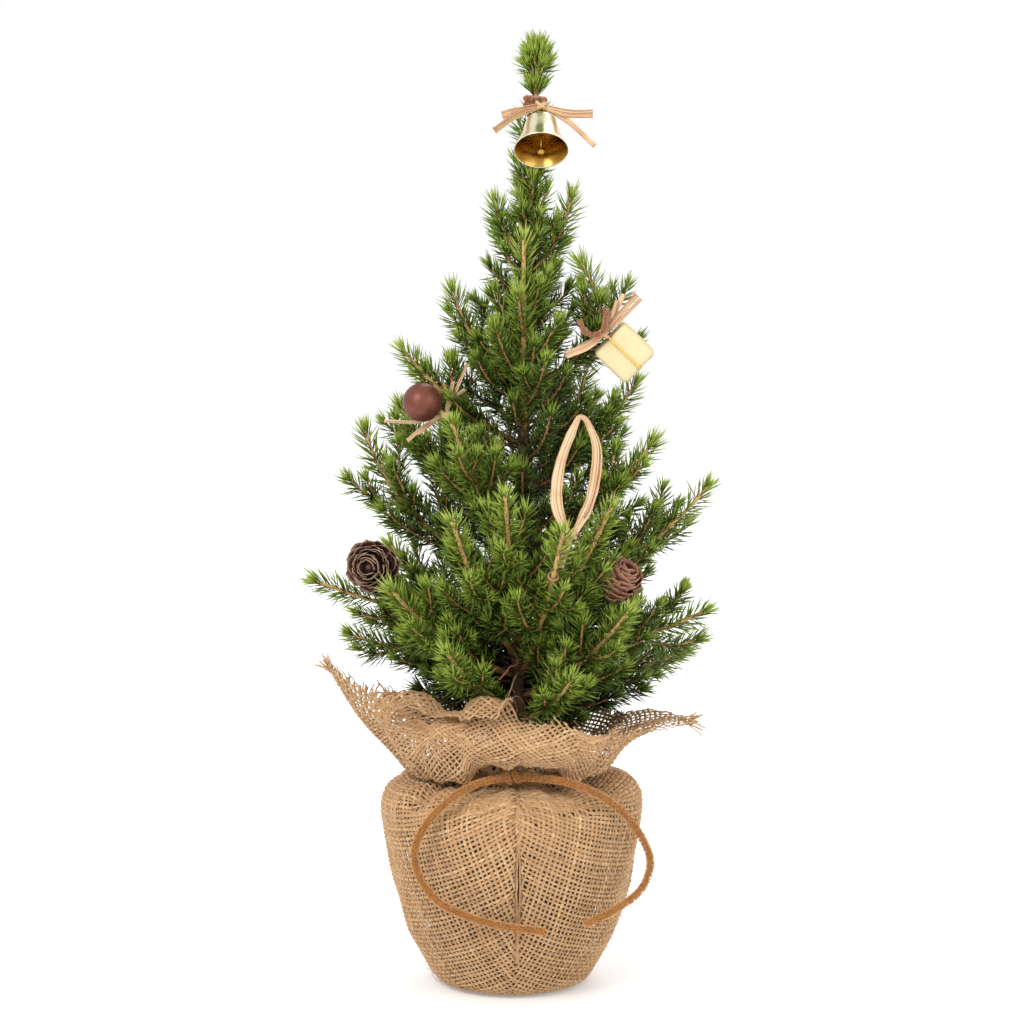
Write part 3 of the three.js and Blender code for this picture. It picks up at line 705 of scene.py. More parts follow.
# Strips of the cloth between two pleats: the directions they span, the turn of the weave in degrees
# and the slope of its rows at the left and the right pleat. The pot's wrap and the collar differ.
BODY_STRIPS = [
    (SEAM, 360, -8, -0.5, 0.25),
    (0, 60, 3, 0.1, -0.1),
    (60, 120, 0, -0.1, 0.1),
    (120, 180, -4, 0.1, -0.1),
    (180, SEAM, 12, -0.3, 0.5),
]
COLLAR_STRIPS = [
    (213, 314, 34, 0.1, -0.1),
    (314, 384, 6, 0.1, -0.1),
    (24, 86, 0, -0.1, 0.1),
    (86, 150, 5, 0.1, 0.1),
    (150, 213, -9, -0.2, 0.15),
]
OVERLAP = 1.6  # a strip runs on beyond its pleat
BODY_RADIUS = 64  # at the belly, where a strip is widest
SLIT_MIDDLE = 96  # where the front seam gapes, as a length along the cloth
SLIT_HALF = 19
SLIT_WIDE = 1.5
LOOSE_ZONES = [(168, 17, 34), (349, 9, 20)]  # direction, width and length of the collar's thin places


def weave_strip(shape, cloth, rng, strip, low, high, tuck):
    """Both families of threads of one strip, between two lengths along the cloth."""
    start, end, turn, slope_left, slope_right = strip
    middle, half = (start + end) / 2, (end - start) / 2
    row_radius = cloth.radius[int(middle / 360 * DIRECTIONS) % DIRECTIONS]
    lengths = np.linspace(0, cloth.body_length + 62, 400)
    _, rows = cloth.lookup(np.full(400, middle), lengths)
    radii = np.maximum(np.interp(rows, np.arange(len(row_radius)), row_radius), 1.0)
    turn = math.radians(turn)
    widest = BODY_RADIUS * math.radians(half)
    reach = int((cloth.body_length + 75) / PITCH) + 30
    crossings = np.arange(-reach, reach + 1)
    for family in (0, 1):
        for line in range(-reach, reach + 1):
            fixed, moving = np.full(len(crossings), line * PITCH), crossings * PITCH
            across, along = (fixed, moving) if family == 0 else (moving, fixed)
            p = across * math.cos(turn) - along * math.sin(turn)
            q = across * math.sin(turn) + along * math.cos(turn)
            share = (p / widest + 1) / 2
            q = q + widest * (slope_left * share + (slope_right - slope_left) * share ** 2 / 2) * 2
            q = q - 0.5 * widest * (slope_left + slope_right)
            radius = np.interp(q, lengths, radii)
            angle = middle + np.degrees(p / radius)
            slit = (OVERLAP + SLIT_WIDE / 2) * bump_at(angle, SEAM, 5) * hump(q, SLIT_MIDDLE, SLIT_HALF)
            room = half + np.degrees((OVERLAP - slit) / radius)
            free = cloth.edge(angle)
            long_end = rng.uniform(2, 6) if rng.random() < 0.12 else rng.uniform(0, 1.6)
            fray = long_end if family == 0 else -rng.exponential(1.2)
            fray = fray * (1 - 0.7 * bump_at(angle, 248, 36))
            keep = (np.abs(angle - middle) < room) & (q > low) & (q < np.minimum(free + fray, high))
            sparse = sum(
                bump_at(angle, centre, width) * np.clip((q - free + deep) / 14, 0, 1)
                for centre, width, deep in LOOSE_ZONES
            )
            if rng.random() < 0.3:
                keep &= sparse < 0.5
            sign = np.where((crossings + line) % 2 == 0, 1, -1) * (1 if family == 0 else -1)
            thin = 1 - 0.45 * np.clip(sparse, 0, 1)
            thin = thin * (1 + 0.22 * step_between(q, 95, 150) * (q < cloth.body_length))
            weave_runs(shape, cloth, rng, keep, angle, q, sign, (middle, half, tuck), free, thin)


def weave_runs(shape, cloth, rng, keep, angle, q, sign, strip, free, thin):
    """One tube for each unbroken run of a thread."""
    middle, half, depth = strip
    edges = np.flatnonzero(np.diff(np.concatenate([[0], keep.astype(int), [0]])))
    thick = rng.uniform(0.78, 1.18)
    shade = rng.normal(0.55, 0.08)
    for first, last in zip(edges[::2], edges[1::2]):
        count = last - first
        if count < 3:
            continue
        part = slice(first, last)
        a = angle[part] + noise_line(rng, count, count / 3, 0.16)
        s = q[part] + noise_line(rng, count, count / 3, 0.16)
        place, normal = cloth.place(a, s), cloth.normal(a, s)
        off = (a - middle) / half
        right, left = (np.clip((side * off - 0.93) / 0.07, 0, 1) for side in (1, -1))
        tuck = depth * right - 0.3 * depth * left
        past = np.clip(s - free[part], 0, None)
        place = place + normal * (sign[part] * THREAD_WAVE - tuck)[:, None]
        place = place + normal * (past * noise_line(rng, count, 3, 0.25))[:, None]
        place[:, 2] = np.maximum(place[:, 2], 0.42)
        tangent = unit(np.gradient(place, axis=0))
        side = unit(np.cross(normal, tangent))
        lift = np.cross(tangent, side)
        swell = thick * thin[part] * (1 + noise_line(rng, count, count / 2, 0.10))
        swell = swell * np.where(past > 0, 0.72, 1)
        tone = shade + noise_line(rng, count, count / 2, 0.08)
        # Painted light and shade: lighter where the thread rides over, darker where it dips under.
        tone = tone + 0.06 * sign[part] + 0.05 * np.clip(past, 0, 4)
        wide, high = THREAD_WIDE * swell, THREAD_HIGH * swell
        add_tube(shape, place, wide, 6, tone, height=high, frame_of=(tangent, side, lift))


def add_hem(shape, cloth, rng):
    """The two turned-in edges of the front seam, from under the tie almost to the foot."""
    q = np.linspace(58, cloth.body_length - 12, 110)
    slit = SLIT_WIDE * hump(q, SLIT_MIDDLE, SLIT_HALF)
    for edge in (-1, 1):
        angle = SEAM + edge * np.degrees((slit / 2 + 0.55) / 56)
        place = cloth.place(angle, q)
        normal = cloth.normal(angle, q)
        for layer in range(2):
            line = place + normal * (0.45 - 0.9 * layer)
            line = line + noise_path(rng, 110, 30, 0.12)
            # Painted shade: the turned-in layer beneath is darker.
            tone = 0.5 - 0.1 * layer + noise_line(rng, 110, 40, 0.08)
            add_tube(shape, line, 0.6, 6, tone, height=0.5)


def add_fuzz(shape, cloth, rng, count):
    """Loose hairs of jute that stand off the weave, most of them along the free edge."""
    for i in range(count):
        angle = rng.uniform(0, 360)
        edge = cloth.edge(angle)
        s = rng.uniform(36, edge) if i % 3 else edge - rng.exponential(4)
        steps = np.linspace(0, 1, 5)
        heading = rng.uniform(0, TURN)
        length = rng.uniform(4, 11)
        a = angle + np.degrees(steps * length * math.cos(heading) / 55)
        place = cloth.place(a, s + steps * length * math.sin(heading))
        rise = 0.5 + rng.uniform(0.5, 2.2) * np.sin(steps * math.pi * rng.uniform(0.5, 1.1))
        place = place + cloth.normal(a, np.full(5, s)) * rise[:, None]
        place[:, 2] = np.maximum(place[:, 2], 0.2)
        add_tube(shape, place, 0.07, 3, rng.uniform(0.5, 0.95))


def add_tassel(shape, cloth, rng, angle, count, length, spread, out):
    """Ends of threads bunched together at a corner of the cloth."""
    root = cloth.place(np.array([angle]), cloth.edge(np.array([angle])) - 3)[0]
    for _ in range(count):
        aim = unit(np.array(out) + rng.normal(0, spread, 3))
        steps = np.linspace(0, 1, 5)[:, None]
        start = root + rng.normal(0, 0.9, 3)
        reach = length * rng.uniform(0.55, 1)
        path = start + aim * steps * reach + rng.normal(0, 0.7, 3) * steps ** 2
        add_tube(shape, path, rng.uniform(0.2, 0.42), 5, rng.uniform(0.45, 0.85))


def make_burlap():
    cloth = Cloth()
    shape = Shape(JUTE)
    rng = np.random.default_rng(3)
    for strip in BODY_STRIPS:
        weave_strip(shape, cloth, rng, strip, 2, cloth.body_length - 1, 0.8)
    for strip in COLLAR_STRIPS:
        weave_strip(shape, cloth, rng, strip, cloth.body_length - 6, 1e3, 1.0)
    add_hem(shape, cloth, rng)
    add_fuzz(shape, cloth, rng, 900)
    add_tassel(shape, cloth, rng, 187, 12, 9, 0.25, (-0.5, 0, 0.85))
    add_tassel(shape, cloth, rng, 356, 16, 11, 0.25, (0.95, 0, -0.1))
    burlap = shape.build("burlap", "tree", ["burlap_wrap", "burlap_collar"])


# ---------------------------------------------------------------- chenille


def add_chenille(shape, path, core, pile, per_mm, rng):
    """A wire with a dense pile round it, laid in a fine spiral."""
    length = path_length(path)
    count = int(length * per_mm)
    at = np.sort(rng.uniform(0, len(path) - 1, count))
    centre, low = along_path(path, at)
    tangent, side, lift = (np.take(axis, low, axis=0) for axis in path_frame(path))
    angle = at * length / len(path) * 2.6 + rng.integers(0, 2, count) * math.pi
    angle = (angle + rng.normal(0, 0.8, count))[:, None]
    out = side * np.cos(angle) + lift * np.sin(angle)
    lean = out + tangent * rng.normal(0, 0.18, (count, 1))
    reach = (pile - 0.6 * core) * rng.uniform(0.82, 1.0, count)
    tone = rng.normal(0.5, 0.14, count)
    # Painted shade deep in the pile: the core and the roots of the pile are darker than the tips.
    add_tube(shape, path, core, 8, 0.25)
    root = centre + out * 0.6 * core
    add_spikes(shape, root, lean, reach, 0.34, 0.0, tone - 0.25, tone + 0.2, belly=0.7)


LEFT_END = [
    (-1, -40, 108), (-14, -49, 107.6), (-27, -56, 102.5), (-39.5, -57, 90), (-45.5, -53, 76),
    (-42.5, -54, 62), (-31.5, -58, 50.5), (-10.5, -61, 43), (15.5, -61, 39),
]
RIGHT_END = [
    (1, -40, 108), (13, -45, 108.6), (27, -50, 107.4), (42, -50, 101), (56, -44, 87.5), (65, -40, 69),
    (61, -42, 55), (49.5, -48, 47), (34, -56, 41),
]
NECK_RING = (35.0, 104.9)  # radius and height


def level_circle(radius, z, count):
    a = np.linspace(0, TURN, count)
    return np.stack([radius * np.cos(a), radius * np.sin(a), np.full(count, z)], axis=1)
def make_tie():
    shape = Shape(ORANGE_PILE)
    rng = np.random.default_rng(5)
    add_chenille(shape, level_circle(*NECK_RING, 120), 0.9, 2.3, 34, rng)
    for points in (LEFT_END, RIGHT_END):
        add_chenille(shape, smooth_path(points, 150), 0.9, 2.3, 40, rng)
    turn = np.linspace(0, 4 * math.pi, 50)[:, None]
    axis = np.array([[-4.2, -40.2, 107.8], [4.2, -40.2, 108.4]])
    twist = axis[0] + (axis[1] - axis[0]) * turn / turn[-1]
    twist = twist + np.hstack([0 * turn, 1.7 * np.cos(turn), 1.7 * np.sin(turn)])
    add_chenille(shape, twist, 0.8, 2.0, 40, rng)
    shape.build("tie", "tree", ["neck_tie"])


# ---------------------------------------------------------------- shoots and needles


def add_shoot(shape, rng, path, stem, density, needle, bare=0.12, dark=0.0, painted_light=1.0, gap=None):
    """A twig with its needles: spirals along the stem, and a tuft round the bud at the tip."""
    length = path_length(path)
    tangent, side, lift = path_frame(path)
    share = np.linspace(0, 1, len(path))
    knots = 1 + 0.12 * np.sin(share * length * 2.1)
    # Painted shade on the bark: darker by dark, and darker still near the foot of a thick stem.
    shaded = min(stem, 1.6) / 1.6 * np.exp(-share * length / 22)
    bark = 0.60 - 0.5 * dark + 0.22 * share - 0.55 * shaded + noise_line(rng, len(path), 12, 0.08)
    add_tube(shape, path, stem * (1 - 0.5 * share) * knots, 6, bark, material=1)
    count = max(int(length * (1 - bare) * density), 8)
    at = bare + (1 - bare) * np.sort(rng.uniform(0, 1, count))
    if gap:
        at = at[np.abs(at - gap) * length > 3.6]
        count = len(at)
    centre, low = along_path(path, at * (len(path) - 1))
    t, s, u = tangent[low], side[low], lift[low]
    angle = (np.arange(count) * GOLDEN + rng.normal(0, 0.35, count))[:, None]
    out = s * np.cos(angle) + u * np.sin(angle)
    near_tip = np.clip((at - 1 + 7 / length) * length / 7, 0, 1)
    open_angle = np.radians(rng.normal(54, 9, count) - 34 * near_tip)[:, None]
    direction = t * np.cos(open_angle) + out * np.sin(open_angle) + 0.12 * UP
    size = needle * rng.uniform(0.78, 1.08, count) * (1 - 0.12 * near_tip)
    young = 0.33 + 0.16 * at ** 2 + 0.16 * near_tip
    # Painted light and shade on the needles: lightened on shoots painted brighter, darkened by dark.
    tone = young * painted_light - 0.5 * dark + rng.normal(0, 0.07, count)
    add_spikes(
        shape, centre + out * 0.5 * stem, direction, size, rng.uniform(0.6, 0.78, count),
        t * rng.uniform(0.4, 1.8, (count, 1)), tone - 0.10, tone + 0.26,
    )
    tuft = 12
    angle = (np.arange(tuft) * GOLDEN)[:, None]
    out = side[-1] * np.cos(angle) + lift[-1] * np.sin(angle)
    opening = np.radians(rng.uniform(4, 30, tuft))[:, None]
    # Painted light and shade on the tuft, as on the needles.
    tone = 0.62 * painted_light - 0.4 * dark + rng.normal(0, 0.06, tuft)
    root = path[-1] - tangent[-1] * 1.5 + out * 0.3
    direction = tangent[-1] * np.cos(opening) + out * np.sin(opening)
    size = needle * rng.uniform(0.6, 0.9, tuft)
    add_spikes(shape, root, direction, size, 0.75, 0.0, tone, tone + 0.25)


def bezier(start, pull, end, count):
    t = np.linspace(0, 1, count)[:, None]
    return (1 - t) ** 2 * start + 2 * (1 - t) * t * pull + t ** 2 * end


# How far out a branch's bend reaches, as a share of its reach, where it isn't 0.6.
BULGES = {
    "branch_08": 0.55, "branch_11": 0.55, "branch_12": 0.55, "branch_15": 0.55, "branch_17": 0.62,
    "branch_18": 0.8, "branch_19": 0.7, "branch_20": 0.65, "branch_22": 0.7, "branch_23": 0.65,
    "branch_24": 0.65, "branch_26": 1.05, "branch_27": 0.7, "branch_28": 0.7, "branch_29": 1.95,
    "branch_30": 0.9, "branch_31": 0.8, "branch_32": 0.8,
}
FRONT_SHOOT = "branch_26"  # the strong upright shoot in the middle of the front
# The body tied to each branch that carries one.
TIES = {
    joint["parent"]: body for body, joint in JOINTS.items() if joint["parent"].startswith("branch_")
}


def branch_path(name):
    root = joint_place(name)
    axis = np.array(JOINTS[name]["axis"])
    outward = np.array([-axis[1], axis[0], 0.0])
    points = cad_vertices(name)
    tip = points[np.argmax(np.linalg.norm(points - root, axis=1))]
    reach = np.dot(tip - root, outward)
    pull = root + outward * (BULGES.get(name, 0.6) * (reach + 4) - 4) + UP * 0.34 * (tip[2] - root[2])
    return bezier(root, pull, root + outward * reach + UP * (tip[2] - root[2]), 48)


def side_path(rng, origin, tangent, out, length, lift):
    """A side shoot that leaves at an angle and then bends upwards."""
    open_angle = math.radians(rng.uniform(34, 50))
    start = unit(tangent * math.cos(open_angle) + out * math.sin(open_angle))
    end = unit(start + tangent * 0.35 + UP * lift)
    return bezier(origin, origin + start * length * 0.5, origin + (start * 0.45 + end * 0.55) * length, 16)


def in_clearing(path):
    """Whether a shoot would hide the foot of the trunk and the dry twig from the front."""
    return bool(np.any((np.abs(path[:, 0]) < 12) & (path[:, 1] < -6) & (path[:, 2] < 172)))


def make_branch(name, index):
    rng = np.random.default_rng(100 + index)
    shape = Shape(NEEDLE, TWIG)
    path = branch_path(name)
    length = path_length(path)
    tangent, side, lift = path_frame(path)
    gap = None
    if name in TIES:
        near = np.linalg.norm(path - joint_place(TIES[name]), axis=1)
        gap = float(np.argmin(near)) / (len(path) - 1)
    thick = float(np.interp(length, [20, 110], [1.15, 1.75]))
    # Painted light and shade: shoots reaching forward and up high are lighter, low back ones darker.
    front = float(np.clip(-path[-1][1] / 60, 0, 1))
    low = float(np.clip((250 - path[-1][2]) / 150, 0, 1))
    painted_light = 1.0 + 0.16 * front + 0.12 * (1 - low)
    dark = 0.10 * low * (1 - front)
    density = float(np.interp(length, [45, 110], [4.3, 3.1]))
    if name == FRONT_SHOOT:
        # Painted light: the front shoot is lighter still.
        painted_light, thick = 1.35, 1.9
    add_shoot(shape, rng, path, thick, density, 10.4, dark=dark, painted_light=painted_light, gap=gap)
    sprays = int(np.interp(length, [38, 55, 84], [1, 4, 8]))
    for k in range(sprays):
        at = 0.16 + 0.52 * (k + rng.uniform(0.1, 0.9)) / sprays
        if gap and abs(at - gap) < 0.07:
            at -= 0.11
        i = int(at * (len(path) - 1))
        angle = k * GOLDEN + rng.normal(0, 0.3)
        out = side[i] * math.cos(angle) + lift[i] * math.sin(angle) * 0.7
        reach = 0.30 * length * (1.1 - at) + float(np.interp(length, [40, 80], [4, 15]))
        reach *= rng.uniform(0.8, 1.1)
        twig = side_path(rng, path[i], tangent[i], unit(out), reach, 0.75)
        if in_clearing(twig):
            continue
        # Painted shade: side shoots leaving nearer the branch's foot, deep in the tree, are darker.
        depth = float(np.clip(0.85 - at, 0, 0.7))
        shade = dark + 0.75 * depth
        add_shoot(shape, rng, twig, 0.8, 2.9, 9.4, bare=0.06, dark=shade, painted_light=painted_light * 0.95)
        if reach > 27:
            t2, s2, l2 = path_frame(twig)
            side_sign = 1 if k % 2 else -1
            j = int(rng.uniform(0.3, 0.5) * (len(twig) - 1))
            aim = s2[j] * side_sign * 0.9 + l2[j] * rng.normal(0, 0.4)
            small = side_path(rng, twig[j], t2[j], unit(aim), rng.uniform(13, 18), 0.7)
            add_shoot(shape, rng, small, 0.55, 2.8, 8.6, bare=0.05, dark=shade)
    shape.build(name + "_spray", name, [name])


def trunk_x(z):
    return 2 + 10.5 * (z / 458) ** 2


def trunk_point(z):
    return np.array([trunk_x(z), 0, z])


def trunk_path(low, high, count):
    return np.array([trunk_point(z) for z in np.linspace(low, high, count)])


def level_aim(angle):
    return np.array([math.cos(angle), math.sin(angle), 0])


# Rings of small shoots round the leader: height, how many, how far out and how far up they reach.
LEADER_RINGS = [(434, 6, 5.5, 6), (438, 6, 4.6, 7), (441, 5, 2.4, 7)]


def make_leader():
    rng = np.random.default_rng(21)
    shape = Shape(NEEDLE, TWIG)
    heights = cad_vertices("leader")[:, 2]
    z = np.linspace(heights.min(), heights.max() - 10.5, 70)
    path = np.stack([trunk_x(z), 0.5 * np.sin(z / 9), z], axis=1)
    band = middle_of("bell_band")[2]
    gap = (band - z[0]) / (z[-1] - z[0])
    # Painted light: the leader at the top is lightened a little.
    add_shoot(shape, rng, path, 1.8, 4.2, 10.5, bare=0.03, painted_light=1.1, gap=gap)
    for height, count, out, rise in [(band + 3.5, 5, 2.4, 6), *LEADER_RINGS]:
        centre = trunk_point(height)
        for k in range(count):
            aim = level_aim(k * GOLDEN + height)
            twig = bezier(centre, centre + aim * out * 0.7 + UP * 2, centre + aim * out + UP * rise, 6)
            add_shoot(shape, rng, twig, 0.5, 3.0, 8.8, bare=0.3)
    for k in range(16):
        centre = trunk_point(350 + 3.6 * k)
        aim = level_aim(k * GOLDEN + 0.6)
        twig = bezier(centre, centre + aim * 5 + UP * 3, centre + aim * 7.5 + UP * 13, 8)
        # Painted light, as on the leader.
        add_shoot(shape, rng, twig, 0.7, 3.0, 9, bare=0.15, painted_light=1.1)
    shape.build("leader_shoot", "tree", ["leader"])


def make_trunk():
    rng = np.random.default_rng(8)
    shape = Shape(BARK, TWIG)
    heights = cad_vertices("trunk")[:, 2]
    rows = 260
    path = trunk_path(heights.min(), heights.max(), rows)
    radius = np.interp(path[:, 2], path[[0, -1], 2], [3.8, 2.2]) * (1 + noise_line(rng, rows, 90, 0.07))
    depth = radius * (1 + noise_line(rng, rows, 40, 0.06))
    tone = 0.35 + noise_line(rng, rows, 60, 0.15)
    add_tube(shape, path, radius, 16, tone, height=depth)
    for k in range(150):
        height = rng.uniform(112, 365)
        out = level_aim(k * GOLDEN) + UP * rng.uniform(-0.2, 0.6)
        base = trunk_point(height) + out * 2.2
        stub = smooth_path([base, base + out * 1.5, base + out * 3 + UP], 4)
        add_tube(shape, stub, [0.7, 0.5, 0.4, 0.2], 5, 0.5, 1)
    shape.build("trunk_bark", "tree", ["trunk"])


def make_inner_twigs():
    """Short shoots that leave the trunk between the branches, darkened as painted shade."""
    rng = np.random.default_rng(31)
    shape = Shape(NEEDLE, TWIG)
    for k in range(84):
        share = (k + 0.5) / 84
        aim = level_aim(k * GOLDEN)
        base = trunk_point(126 + 240 * share) + aim * 2
        length = (52 * (1 - share) ** 0.9 + 12) * rng.uniform(0.75, 1.1)
        rise = 0.25 + 0.5 * min(share * 3, 1)
        pull = base + aim * length * 0.6 + UP * length * 0.15
        twig = bezier(base, pull, base + (aim + rise * UP) * length * 0.85, 18)
        # Painted shade: the lower a shoot starts, the darker it is.
        if not in_clearing(twig):
            add_shoot(shape, rng, twig, 0.9, 2.6, 9.4, dark=0.85 - 0.55 * share)
    # Shoots along the trunk itself, with painted shade, darker on the lower run.
    for low, high, dark in ((185, 330, 0.6), (325, 405, 0.15)):
        add_shoot(shape, rng, trunk_path(low, high, 40), 1.0, 4.0, 12, bare=0.0, dark=dark)
    for k in range(90):
        round_trunk = k < 60  # the rest fill the back, above the collar
        height = 122 + 78 * (k + 0.5) / 90 if round_trunk else 116 + 1.2 * (k - 60)
        angle = k * GOLDEN + 0.9 if round_trunk else math.radians(35 + 110 * ((k * 0.618) % 1))
        aim = level_aim(angle)
        base = trunk_point(height) + aim * 2
        length = rng.uniform(26, 52) if round_trunk else rng.uniform(24, 40)
        twig = bezier(base, base + aim * length * 0.6, base + (aim + 0.22 * UP) * length, 14)
        # Painted shade: these shoots round the trunk and at the back are dark.
        if not in_clearing(twig):
            add_shoot(shape, rng, twig, 0.9, 3.0, 10.5, bare=0.1, dark=0.9)
    shape.build("inner_twigs", "tree")


def make_dry_twig():
    shape = Shape(RED_TWIG)
    rng = np.random.default_rng(2)
    points = cad_vertices("dry_twig")
    foot, tip = points[np.argmax(points[:, 1])], points[np.argmin(points[:, 1])]
    path = smooth_path([foot, (2, -17, 158), (-2, -24, 156.5), tip], 24)
    path = path + noise_path(rng, 24, 9, 0.25)
    add_tube(shape, path, np.linspace(0.75, 0.35, 24), 7, 0.6)
    shape.build("red_dry_twig", "tree", ["dry_twig"])


# ---------------------------------------------------------------- raffia


def add_ribbon(shape, rng, path, width, tone, curl):
    """A flat dry strip with fibre ridges, its face towards the front at the start."""
    thin = 0.16
    count = len(path)
    tangent = unit(np.gradient(path, axis=0))
    side = unit(np.cross(tangent, (0.0, -1.0, 0.0)))
    turn = np.cumsum(rng.normal(0, 0.05, count))[:, None] + np.linspace(0, curl, count)[:, None]
    lift = np.cross(side, tangent)
    side, lift = side * np.cos(turn) + lift * np.sin(turn), lift * np.cos(turn) - side * np.sin(turn)
    ridges = 13
    across = np.linspace(-1, 1, ridges)
    groove = rng.uniform(-0.42, 0.42, ridges) + 0.3 * across ** 2
    half = np.broadcast_to(width, count) / 2 * (1 + noise_line(rng, count, count / 4, 0.06))
    flat = path[:, None] + side[:, None] * (across * half[:, None])[..., None]
    front = flat + lift[:, None] * (groove + thin)[None, :, None]
    back = flat + lift[:, None] * (groove - thin)[None, :, None]
    loop = np.concatenate([front, back[:, ::-1]], axis=1)
    streak = rng.normal(0, 0.30, ridges)
    tones = tone + np.concatenate([streak, streak[::-1]])[None]
    tones = tones + noise_line(rng, count, count / 3, 0.07)[:, None]
    faces = [grid_faces(count, 2 * ridges, wrap=True)]
    for row in (0, count - 1):
        near = row * 2 * ridges + np.arange(ridges - 1)
        far = (2 * row + 2) * ridges - 1 - np.arange(ridges - 1)
        cap = np.stack([near, near + 1, far - 1, far], axis=1)
        faces.append(cap[:, ::-1] if row == 0 else cap)
    shape.add(loop, [np.vstack(faces)], tones)


def add_knot(shape, centre, radius):
    """Two tight crossing turns of a strip."""
    for k, tilt in enumerate((0.5, -0.6)):
        a = np.linspace(0, TURN, 22)
        swing = radius * np.cos(a)
        loop = np.stack([0.8 * swing, radius * 0.65 * np.sin(a), tilt * swing], axis=1)
        add_tube(shape, loop + centre, 0.55 * radius, 8, 0.45 + 0.1 * k, height=0.35 * radius)


def add_tails(shape, rng, knot, tails, steps, swell, brightest, curl):
    """Strips from a knot; swell is how soon, how narrow and how nearly full a strip opens out."""
    soon, narrow, nearly = swell
    for points, width in tails:
        path = smooth_path([knot, *points], steps)
        widths = width * np.interp(np.linspace(0, 1, steps), [0, soon, 1], [narrow, nearly, 1])
        add_ribbon(shape, rng, path, widths, rng.uniform(0.5, brightest), rng.uniform(-curl, curl))


def make_bow(name, node, body, knot, tails):
    shape = Shape(RAFFIA)
    add_knot(shape, knot, 2.0)
    add_tails(shape, np.random.default_rng(len(name)), knot, tails, 22, (0.25, 0.45, 0.9), 0.75, 0.4)
    shape.build(name, body, [node])


LOOP_LINE = [
    (25, -66, 228), (20.5, -65, 243), (22.5, -64, 261), (29, -63, 278), (31.5, -63, 281.5),
    (35, -63, 278), (39, -64, 265), (36, -65, 244), (28.5, -66, 228),
]


def make_raffia_loop():
    shape = Shape(RAFFIA)
    rng = np.random.default_rng(17)
    path = smooth_path(LOOP_LINE, 90)
    share = np.linspace(0, 1, 90)
    width = np.interp(share, [0, 0.15, 0.4, 0.5, 0.6, 0.8, 1], [4.0, 6.2, 4.4, 2.2, 4.2, 5.8, 3.4])
    width = width * (1 + noise_line(rng, 90, 12, 0.08))
    add_ribbon(shape, rng, path, width, 0.52, 0.7)
    add_ribbon(shape, rng, path[6:84] + (0.6, 0.7, 0.3), width[6:84] * 0.55, 0.36, -0.3)
    tie = joint_place("raffia_loop")
    add_knot(shape, (26.6, -65.4, 227.5), 2.6)
    for shift in (-1.2, 1.0):
        bends = [(26.6 + shift, -65.6, 228), (22.8 + shift, -63.2, 217), tie + (shift + 2.4, 0.5, 4)]
        add_ribbon(shape, rng, smooth_path(bends, 20), 2.6, 0.6, shift * 0.2)
    ring = ring_path(tie, np.array(JOINTS["raffia_loop"]["axis"]), 2.3, 40)
    add_tube(shape, ring, 0.6, 8, 0.2)
    shape.build("raffia_loop_strip", "raffia_loop", ["raffia_loop"])


def ring_path(centre, axis, radius, count):
    axis = unit(axis)
    side = unit(np.cross(axis, (0.2, 0.9, 0.3)))
    lift = np.cross(axis, side)
    a = np.linspace(0, TURN, count)[:, None]
    return centre + radius * (np.cos(a) * side + np.sin(a) * lift)


def hoop(radius, count):
    """The two coordinates of points round a closed circle."""
    return [(radius * math.cos(a), radius * math.sin(a)) for a in np.linspace(0, TURN, count)]


# ---------------------------------------------------------------- decorations


def turned_points(profile, around):
    """A profile of (radius, height) turned about the bell's own axis."""
    profile = np.asarray(profile, float)
    a = np.linspace(0, TURN, around, endpoint=False)
    level = np.repeat(profile[:, 1:], around, axis=1)
    ring = np.stack([profile[:, :1] * np.cos(a), profile[:, :1] * np.sin(a), level], axis=2)
    c, s = math.cos(BELL_TURN), math.sin(BELL_TURN)
    return ring.reshape(-1, 3) @ np.array([[1, 0, 0], [0, c, -s], [0, s, c]]).T + BELL_TOP


def round_profile(points):
    flat = np.array([(x, 0, z) for x, z in points], float)
    return smooth_path(flat, 6 * len(points))[:, [0, 2]]


BELL_TOP = np.array([13.5, -9.0, 414.5])
BELL_TURN = -math.radians(44)
BELL_SCALE = 1.03
BELL_OUTSIDE = [
    (1.2, 0), (5.0, -0.25), (6.8, -1.6), (7.5, -4), (8.4, -8), (9.4, -11.5), (10.8, -15),
    (11.8, -17.2), (12.3, -18.4),
]
BELL_INSIDE = [
    (1.2, -0.7), (4.6, -1.0), (6.1, -2.1), (6.9, -4.4), (7.8, -8), (8.8, -11.5), (10.2, -15),
    (11.2, -17.3), (11.7, -18.3),
]
BELL_LIP = [(12.4, -18.55), (12.15, -18.75), (11.8, -18.65)]
CLAPPER_TURN = math.radians(32)


def bell_point(x, y, z):
    """A point in the bell's own frame, which hangs from its top with the mouth turned forward."""
    c, s = math.cos(BELL_TURN), math.sin(BELL_TURN)
    return BELL_TOP + np.array([x, y * c - z * s, y * s + z * c])


def clapper_point(y, z):
    """A point in the clapper's own frame, which hangs straight down from the bell's hook."""
    c, s = math.cos(CLAPPER_TURN), math.sin(CLAPPER_TURN)
    return bell_point(0, y * c - z * s, -5.4 + y * s + z * c)


